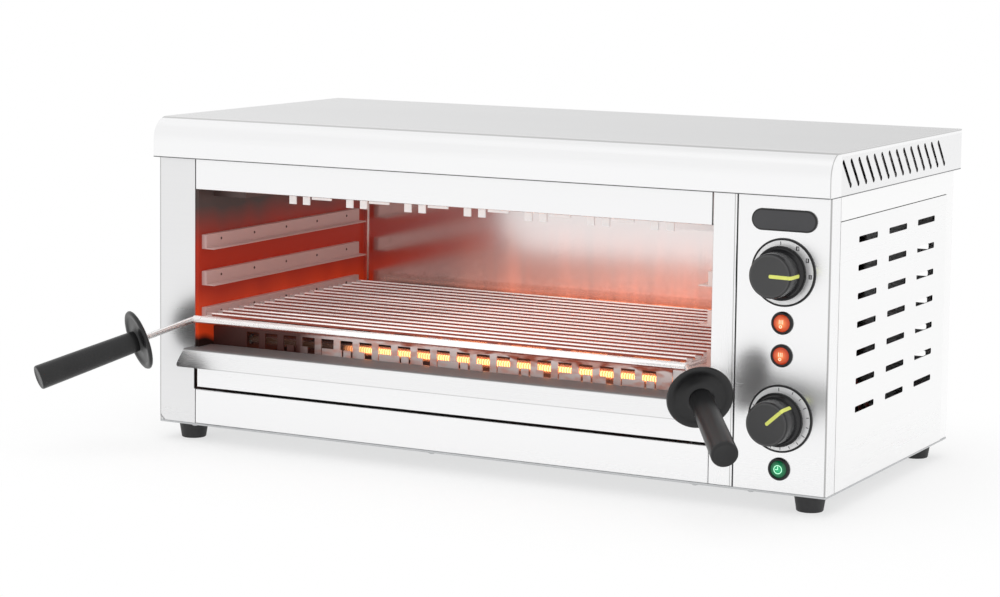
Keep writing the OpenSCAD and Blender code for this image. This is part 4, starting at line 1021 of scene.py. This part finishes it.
class MELTER_OT_rack(Operator):
    """Makes the rack's wires smooth and its handles' guards and grips"""

    bl_idname = "melter.rack"
    bl_label = "Rack"

    def execute(self, context):
        look = settings().rack
        chrome = plated("chromed wire", (0.99, 0.985, 0.98), 0.2, 0.82)
        front = plated("chromed front rod", (1.0, 0.97, 0.96), 0.24, 0.5)
        self.light(front, look.lit * 0.7)
        tinted = plated("chromed cross wire", (1.0, 0.95, 0.93), 0.24, 0.6)
        self.light(tinted, look.lit)
        tree = tinted.node_tree
        low, high = vectors(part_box("rack_grid"))
        centre = (low + high) / 2
        parts = axes(tree, (centre.x, centre.y, high.z - look.wire / 2))
        # Painted shade on the undersides of the cross wires.
        under = fall(tree, parts["Z"], 0.0003, 0.0007)
        for axis, half in (("X", (high.x - low.x) / 2), ("Y", (high.y - low.y) / 2)):
            out = size_of(tree, parts[axis])
            under = times(tree, under, fall(tree, out, half - 0.0062, half - 0.0055))
            darken(tinted, rise(tree, out, half - 0.0062, half - 0.0055), look.dull)
        darken(tinted, under, look.underside_shade)
        # Painted shade on the lower part of the front rod.
        rod = middle("rack_front_rod").z
        tree = front.node_tree
        height = axes(tree)["Z"]
        darken(front, fall(tree, height, rod - 0.0021, rod - 0.0015), look.underside_shade)
        plastic = speckled("handle plastic", (0.010, 0.010, 0.0105), 0.33, 0.0009, 0.00004, 1.5, 0.4)
        for node, finish in (("rack_front_rod", front), ("rack_grid", tinted), ("handle_rods", chrome)):
            smooth_copy(node, finish, "rack", "_smooth")
        guards = bmesh.new()
        grips = bmesh.new()
        for start, way in self.handles(look):
            place = start + way * look.guard_place
            join(guards, spun(self.guard_outline(look.guard_radius / MM), place, way))
            join(grips, spun(self.grip_outline(), start, way))
        finish_piece("handle_guards_turned", guards, plastic, "rack", ("handle_guards",))
        finish_piece("handle_grips_turned", grips, plastic, "rack", ("handle_grips",))
        return {"FINISHED"}

    def light(self, material, strength):
        """Paints the heaters' light onto a wire: a glow in its own colour."""
        tree = material.node_tree
        shader = tree.nodes["Principled BSDF"]
        tree.links.new(shader.inputs["Base Color"].links[0].from_socket, shader.inputs["Emission Color"])
        shader.inputs["Emission Strength"].default_value = strength

    def handles(self, look):
        """Where each handle starts on the front rod, and the way it points."""
        low, high = vectors(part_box("rack_front_rod"))
        centre = (low + high) / 2
        splay, tilt = look.splay, look.tilt
        found = []
        for side, x in ((-1, low.x), (1, high.x)):
            way = Vector((
                side * math.sin(splay) * math.cos(tilt),
                -math.cos(splay) * math.cos(tilt),
                -math.sin(tilt),
            ))
            found.append((Vector((x, centre.y, centre.z)), way))
        return found

    def guard_outline(self, edge):
        """A dish with a raised, rounded rim and a hub that sweeps into the grip."""
        return [
            (2.8, -2.0), (8.0, -2.0), (edge - 12, -1.75), (edge - 5.5, -1.2), (edge - 2.2, -0.75),
            (edge - 1.0, -0.25), (edge - 0.2, 0.5), (edge, 1.1), (edge - 0.2, 1.8), (edge - 0.8, 2.8),
            (edge - 1.6, 3.15), (edge - 3.0, 3.2), (edge - 4.4, 2.95), (edge - 5.6, 2.4), (edge - 6.6, 1.9),
            (edge - 8.2, 1.6), (edge - 10.5, 1.5), (14.4, 1.6), (12.6, 1.85), (11.3, 2.3), (10.3, 3.0),
            (9.7, 3.6), (9.4, 4.0), (2.8, 4.0), (2.8, -2.0),
        ]

    def grip_outline(self):
        return [
            (0, 57.0), (9.1, 57.0), (9.3, 57.3), (9.5, 62.0), (9.9, 85.0), (10.35, 115.0), (10.75, 145.0),
            (10.8, 147.8), (10.65, 148.6), (10.25, 149.2), (9.5, 149.45), (8.4, 149.5), (7.6, 149.1),
            (0, 149.0),
        ]


class MELTER_OT_tray(Operator):
    """Rounds the crumb tray's front and its lip"""

    bl_idname = "melter.tray"
    bl_label = "Crumb tray"

    def execute(self, context):
        look = settings().steel
        low, high = vectors(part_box("tray_lip"))
        top = high.z
        steel = used_tray("brushed steel tray", look.tone, look.roughness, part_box("crumb_tray")[1][2])
        # A darker line along the lip's lower edge is painted shade.
        bent = used_tray("brushed steel lip", look.tone, look.roughness, top, (("Z", low.z, 0.0007),))
        rounded_sheet("crumb_tray", steel, "tray")
        corner_radius, fold_radius = 0.0035, 0.0025
        mesh = merged_copy("tray_lip")
        corners = [e for e in mesh.edges if e.calc_length() < 0.0018
                   and edge_middle(e).y < FACE_Y - 0.018 and abs(edge_way(e).x) < 0.5]
        bevel(mesh, corners, corner_radius, 5)
        folds = [e for e in sharp_edges(mesh, 20) if abs(edge_way(e).x) > 0.9
                 and edge_middle(e).z > top - 0.0002 and edge_middle(e).y < FACE_Y - 0.010]
        bevel(mesh, folds, fold_radius, 4)
        bevel(mesh, sharp_edges(mesh, SHARP_FOLD), look.edge, 2)
        finish_piece("tray_lip_sheet", mesh, bent, "tray", ("tray_lip",), 40.0, True)
        return {"FINISHED"}


class MELTER_OT_dials(Operator):
    """Makes the dials with their black rims and plain printed marks, and the bare badge"""

    bl_idname = "melter.dials"
    bl_label = "Dials and badge"

    def execute(self, context):
        look = settings().controls
        rim = speckled("dial rim plastic", look.knob, 0.3, 0.001, 0.00003, 1.3, 0.35)
        ink = painted("printed marks", (0.035, 0.035, 0.04), 0.5)
        radius = (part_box("dial_plates")[1][0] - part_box("dial_plates")[0][0]) / 2 / MM
        inner = radius - look.rim_width / MM
        rims = bmesh.new()
        for name, centre in (("selector", SELECTOR), ("timer", TIMER)):
            metal = turned_metal(name + " dial metal", (0.93, 0.93, 0.935), 0.34, centre)
            face = spun([(5.0, 0.0), (inner, 0.0), (inner, DIAL_FACE), (5.0, DIAL_FACE), (5.0, 0.0)], centre)
            finish_piece(name + "_dial_face", face, metal, "cabinet", ("dial_plates",))
            join(rims, spun(
                [(inner, 0), (radius, 0), (radius, 1.0), (radius - 0.2, 1.4), (radius - 0.6, 1.6),
                 (inner + 0.3, 1.6), (inner, 1.4), (inner, 0)], centre))
        finish_piece("dial_rims", rims, rim, "cabinet", ("dial_plates",))
        finish_piece("selector_marks", self.selector_marks(look), ink, "cabinet")
        finish_piece("timer_marks", self.timer_marks(look), ink, "cabinet")
        badge = painted("badge enamel", look.badge, 0.38)
        self.badge_rim(badge)
        mesh = merged_copy("badge_plate")
        bevel(mesh, [e for e in sharp_edges(mesh, SHARP_FOLD)
                     if max(v.co.y for v in e.verts) < FACE_Y - 0.001], 0.0006, 3)
        finish_piece("badge_plate_bare", mesh, badge, "cabinet", ("badge_plate",))
        return {"FINISHED"}

    def badge_rim(self, material):
        """A darker rim, even all round the badge."""
        low, high = vectors(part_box("badge_plate"))
        tree = material.node_tree
        centre = (low + high) / 2
        half = (high.z - low.z) / 2
        parts = axes(tree, centre)
        past = math_node(tree, "SUBTRACT", size_of(tree, parts["X"]), (high.x - low.x) / 2 - half)
        past = math_node(tree, "MAXIMUM", past, 0.0)
        flat = add(tree, "CombineXYZ", {"X": past, "Z": parts["Z"]}).outputs[0]
        away = length_of(tree, flat)
        darken(material, rise(tree, away, half - 0.0015, half - 0.0011), (0.006, 0.006, 0.006))

    def face_point(self, centre):
        return centre + Vector((0, -DIAL_FACE * MM, 0))

    def selector_marks(self, look):
        """A tick at the top and three small box signs further round."""
        whole = bmesh.new()
        width = look.mark_width / MM
        centre = self.face_point(SELECTOR)
        join(whole, bar(centre, 2.6, width, 0.1, -6, 22.2))
        for degrees, filled in ((31, (True, False)), (62, (False, True)), (95, (True, True))):
            angle = math.radians(degrees)
            sign = centre + Vector((math.sin(angle), 0, math.cos(angle))) * 23.2 * MM
            for side, full in zip((-1, 1), filled):
                place = sign + Vector((side * 1.05 * MM, 0, -1.7 * MM))
                join(whole, bar(place, 3.4, width, 0.1, 0))
                if full:
                    join(whole, bar(sign + Vector((side * 0.55 * MM, 0, -1.7 * MM)), 3.4, 0.5, 0.1, 0))
            for height in (-1.7, 1.2):
                join(whole, bar(sign + Vector((-1.05 * MM, 0, (height + 0.25) * MM)), 2.1, 0.5, 0.1, 90))
        return whole

    def timer_marks(self, look):
        """A long tick at the top and others at equal steps, each third one longer."""
        whole = bmesh.new()
        width = look.mark_width / MM
        centre = self.face_point(TIMER)
        for i in range(look.timer_marks):
            long = i % 3 == 0
            place = 7.0 + 19.0 * i if i else -3.0
            join(whole, bar(centre, 2.9 if long else 2.2, width, 0.1, place, 22.2 if long else 22.9))
        return whole


class MELTER_OT_knobs(Operator):
    """Turns the two knobs and paints their pointers"""

    bl_idname = "melter.knobs"
    bl_label = "Knobs"

    def execute(self, context):
        look = settings().controls
        paint = painted("pointer paint", look.pointer, 0.42)
        steel = plated("shaft steel", (0.60, 0.61, 0.62), 0.3)
        low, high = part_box("selector_knob")
        skirt = (high.x - low.x) / 2 / MM
        grip = look.grip_radius / MM
        top = (FACE_Y - low.y) / MM
        back = (FACE_Y - high.y) / MM
        for name, centre, degrees in (("selector", SELECTOR, 91), ("timer", TIMER, 48)):
            plastic = self.plastic(name, look, centre, grip, top)
            knob = spun(self.outline(skirt, grip, top, back), centre)
            finish_piece(name + "_knob_turned", knob, plastic, name, (name + "_knob",), 30.0)
            pointer = self.pointer(centre, degrees, look.pointer_width / MM, grip, top)
            node = name + "_pointer"
            finish_piece(node + "_painted", pointer, paint, name, (node,), 50.0)
            repaint(name + "_shaft", steel)
        return {"FINISHED"}

    def plastic(self, name, look, centre, grip, top):
        """Satin plastic with a paler, matt face and a polished ring at the face's edge."""
        material = speckled(name + " knob plastic", look.knob, 0.24, 0.0007, 0.00001, 1.3, 0.4)
        tree = material.node_tree
        shader = tree.nodes["Principled BSDF"]
        parts = axes(tree, centre)
        out = times(tree, parts["Y"], -1.0)
        flat = add(tree, "CombineXYZ", {"X": parts["X"], "Z": parts["Z"]}).outputs[0]
        away = length_of(tree, flat)
        on_face = rise(tree, out, (top - 0.6) * MM, (top - 0.2) * MM)
        base = shader.inputs["Base Color"].links[0].from_socket
        tree.links.new(blend_of(tree, on_face, base, rgba(look.knob_face)), shader.inputs["Base Color"])
        outer_part = rise(tree, away, (grip - 2.0) * MM, (grip - 1.6) * MM)
        front_part = rise(tree, out, (top - 1.0) * MM, (top - 0.5) * MM)
        ring_mask = times(tree, outer_part, front_part)
        rough = shader.inputs["Roughness"].links[0].from_socket
        dulled = math_node(tree, "ADD", rough, spread(tree, on_face, 0.0, 0.2))
        polished = math_node(tree, "SUBTRACT", dulled, spread(tree, ring_mask, 0.0, 0.26), clamp=True)
        tree.links.new(polished, shader.inputs["Roughness"])
        return material

    def outline(self, skirt, grip, top, back):
        """Skirt that widens to a rim, a waist, a straight grip and a flat face."""
        return [
            (0, back), (skirt - 2.8, back), (skirt - 2.4, 4.8), (skirt - 1.6, 5.7), (skirt - 0.4, 6.1),
            (skirt, 6.5), (skirt, 7.5), (skirt - 0.2, 7.8), (skirt - 0.7, 8.0), (skirt - 1.0, 8.0),
            (skirt - 1.25, 7.7), (skirt - 1.6, 7.7), (skirt - 2.0, 8.1), (grip + 1.2, 8.7),
            (grip + 0.8, 9.4), (grip + 0.4, 10.6), (grip + 0.15, 12.4), (grip, 14.5), (grip - 0.1, 20.0),
            (grip - 0.25, top - 2.2), (grip - 0.45, top - 1.4), (grip - 0.9, top - 0.65),
            (grip - 1.5, top - 0.15), (grip - 2.1, top), (grip - 2.7, top - 0.3), (0, top - 0.3),
        ]

    def pointer(self, centre, degrees, width, grip, top):
        """A painted line from the face's middle, over the rim and down the side."""
        path = [(-0.6, top - 0.25), (grip - 2.8, top - 0.25), (grip - 2.1, top), (grip - 1.4, top - 0.1),
                (grip - 0.8, top - 0.6), (grip - 0.35, top - 1.4), (grip - 0.15, top - 2.2),
                (grip, 20.0), (grip + 0.1, 14.5), (grip + 0.25, 12.6)]
        mesh = bmesh.new()
        row = [mesh.verts.new((-width * MM / 2, -h * MM, r * MM)) for r, h in path]
        edges = [mesh.edges.new(pair) for pair in zip(row, row[1:])]
        made = bmesh.ops.extrude_edge_only(mesh, edges=edges)
        fresh = [item for item in made["geom"] if isinstance(item, bmesh.types.BMVert)]
        bmesh.ops.translate(mesh, vec=(width * MM, 0, 0), verts=fresh)
        corners = [v for v in mesh.verts if len(v.link_edges) == 2]
        bmesh.ops.bevel(
            mesh, geom=corners, offset=width * MM * 0.42, offset_type="OFFSET", affect="VERTICES", segments=4,
            profile=0.5, material=-1, clamp_overlap=True
        )
        bmesh.ops.recalc_face_normals(mesh, faces=mesh.faces)
        bmesh.ops.solidify(mesh, geom=mesh.faces[:], thickness=0.00012)
        bmesh.ops.recalc_face_normals(mesh, faces=mesh.faces)
        turn = Matrix.Rotation(math.radians(degrees), 4, "Y")
        bmesh.ops.transform(mesh, matrix=Matrix.Translation(centre) @ turn, verts=mesh.verts)
        return mesh


class MELTER_OT_lamps(Operator):
    """Makes the three lit lamps with their black bezels and plain signs"""

    bl_idname = "melter.lamps"
    bl_label = "Lamps"

    def execute(self, context):
        look = settings().controls
        black = speckled("bezel plastic", look.knob, 0.28, 0.001, 0.00003, 1.3, 0.35)
        orange_low, orange_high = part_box("orange_lenses")
        radius = (orange_high[0] - orange_low[0]) / 2
        outer = (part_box("lamp_bezels")[1][0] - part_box("lamp_bezels")[0][0]) / 2 / MM
        inner = radius / MM
        upper = Vector((CONTROL_X, FACE_Y, orange_high[2] - radius))
        lower = Vector((CONTROL_X, FACE_Y, orange_low[2] + radius))
        green = Vector((CONTROL_X, FACE_Y, middle("green_lens").z))
        orange_sign = painted("pale orange sign", (1.0, 0.62, 0.42), 0.4)
        green_sign = painted("pale green sign", (0.55, 1.0, 0.72), 0.4)
        lit_signs = ((orange_sign, (1.0, 0.62, 0.42), 0.75), (green_sign, (0.45, 1.0, 0.66), 0.55))
        for sign, tone, strength in lit_signs:
            shader = sign.node_tree.nodes["Principled BSDF"]
            shader.inputs["Emission Color"].default_value = rgba(tone)
            shader.inputs["Emission Strength"].default_value = strength
        bezels = bmesh.new()
        lamps = (
            ("upper", upper, (0.55, 0.055, 0.010), (1.0, 0.44, 0.15), orange_sign, 1.1, "orange_lenses"),
            ("lower", lower, (0.50, 0.045, 0.010), (1.0, 0.40, 0.13), orange_sign, 1.05, "orange_lenses"),
            ("green", green, (0.0, 0.10, 0.035), (0.03, 0.68, 0.28), green_sign, 0.95, "green_lens"),
        )
        dome = [(0, -2), (inner - 0.6, -2), (inner - 0.6, 0), (inner, 0), (inner, 1.5), (inner - 0.5, 1.9),
                (inner - 1.4, 2.35), (inner - 3.2, 2.8), (inner - 5.2, 3.05), (0, 3.1)]
        for place, centre, edge, core, sign, strength, node in lamps:
            name = place + "_lamp"
            glass = lit_lens(name + " glass", edge, core, strength, centre, radius)
            lens = spun(dome, centre, steps=64)
            finish_piece(name + "_lens", lens, glass, "cabinet", (node,), 40.0)
            shape = self.clock(centre) if place == "green" else self.heat_sign(centre)
            finish_piece(name + "_sign", shape, sign, "cabinet")
            join(bezels, spun([(inner, 0), (outer, 0), (outer, 0.9), (outer - 0.3, 1.7), (outer - 0.9, 2.3),
                               (outer - 1.5, 2.4), (inner + 0.3, 2.2), (inner, 1.9), (inner, 0)], centre))
        finish_piece("lamp_bezels_turned", bezels, black, "cabinet", ("lamp_bezels",), 40.0)
        return {"FINISHED"}

    def heat_sign(self, centre):
        """Three short bars over a small ring."""
        whole = bmesh.new()
        front = centre + Vector((0, -3.08 * MM, 0))
        for x in (-1.5, 0.0, 1.5):
            join(whole, bar(front + Vector((x * MM, 0, -0.6 * MM)), 3.4, 0.55, 0.12, 0))
        join(whole, ring(front + Vector((-0.4 * MM, 0.12 * MM, -2.6 * MM)), 0.7, 1.3, 0.24, 20))
        return whole

    def clock(self, centre):
        """A ring with two hands."""
        whole = bmesh.new()
        front = centre + Vector((0, -3.02 * MM, 0))
        join(whole, ring(centre + Vector((0, -2.75 * MM, 0)), 3.0, 3.6, 0.3, 40))
        join(whole, bar(front, 2.6, 0.6, 0.14, 0))
        join(whole, bar(front, 2.1, 0.6, 0.14, 270))
        return whole


class MELTER_OT_base(Operator):
    """Makes the rubber feet and finishes the gland and the earth stud"""

    bl_idname = "melter.base"
    bl_label = "Base"

    def execute(self, context):
        rubber = speckled("foot rubber", (0.02, 0.02, 0.021), 0.6, 0.0012, 0.00008)
        nylon = speckled("gland nylon", (0.025, 0.025, 0.026), 0.4, 0.001, 0.00005)
        brass = plated("earth stud brass", (0.72, 0.56, 0.28), 0.28)
        smooth_copy("rubber_feet", rubber, "cabinet", "_moulded", 50.0)
        smooth_copy("cable_gland", nylon, "cabinet", "_moulded")
        smooth_copy("earth_stud", brass, "cabinet", "_plain")
        return {"FINISHED"}


class MELTER_OT_service(Operator):
    """Finishes what shows through the louvres: switch, timer, wires and terminal block"""

    bl_idname = "melter.service"
    bl_label = "Service bay"

    def execute(self, context):
        white = speckled("switch plastic", (0.72, 0.72, 0.70), 0.45, 0.001, 0.00004, 1.1)
        cover = speckled("wire cover", (0.30, 0.05, 0.04), 0.5, 0.001, 0.00003)
        for node in ("lamp_bodies", "selector_switch", "timer_unit", "terminal_block"):
            repaint(node, white)
        smooth_copy("wiring", cover, "cabinet", "_smooth", 60.0)
        return {"FINISHED"}


STEPS = (
    MELTER_OT_stage, MELTER_OT_shell, MELTER_OT_cavity, MELTER_OT_heaters, MELTER_OT_rack, MELTER_OT_tray,
    MELTER_OT_dials, MELTER_OT_knobs, MELTER_OT_lamps, MELTER_OT_base, MELTER_OT_service,
)


class MELTER_PT_sidebar(Panel):
    """Lists the steps that dress the cheese melter"""

    bl_idname = "MELTER_PT_sidebar"
    bl_label = "Cheese melter"
    bl_space_type = "VIEW_3D"
    bl_region_type = "UI"
    bl_category = "Melter"

    def draw(self, context):
        for step in STEPS:
            self.layout.operator(step.bl_idname)


LOOKS = (SteelLook, HeatLook, ControlLook, StageLook, RackLook)
CLASSES = LOOKS + (MelterSettings,) + STEPS + (MELTER_PT_sidebar,)


def register():
    for item in CLASSES:
        bpy.utils.register_class(item)
    bpy.types.Scene.melter = PointerProperty(type=MelterSettings)


def unregister():
    del bpy.types.Scene.melter
    for item in reversed(CLASSES):
        bpy.utils.unregister_class(item)


def main():
    register()
    bpy.ops.melter.stage()
    bpy.ops.melter.shell()
    bpy.ops.melter.cavity()
    bpy.ops.melter.heaters()
    bpy.ops.melter.rack()
    bpy.ops.melter.tray()
    bpy.ops.melter.dials()
    bpy.ops.melter.knobs()
    bpy.ops.melter.lamps()
    bpy.ops.melter.base()
    bpy.ops.melter.service()


if __name__ == "__main__":
    main()
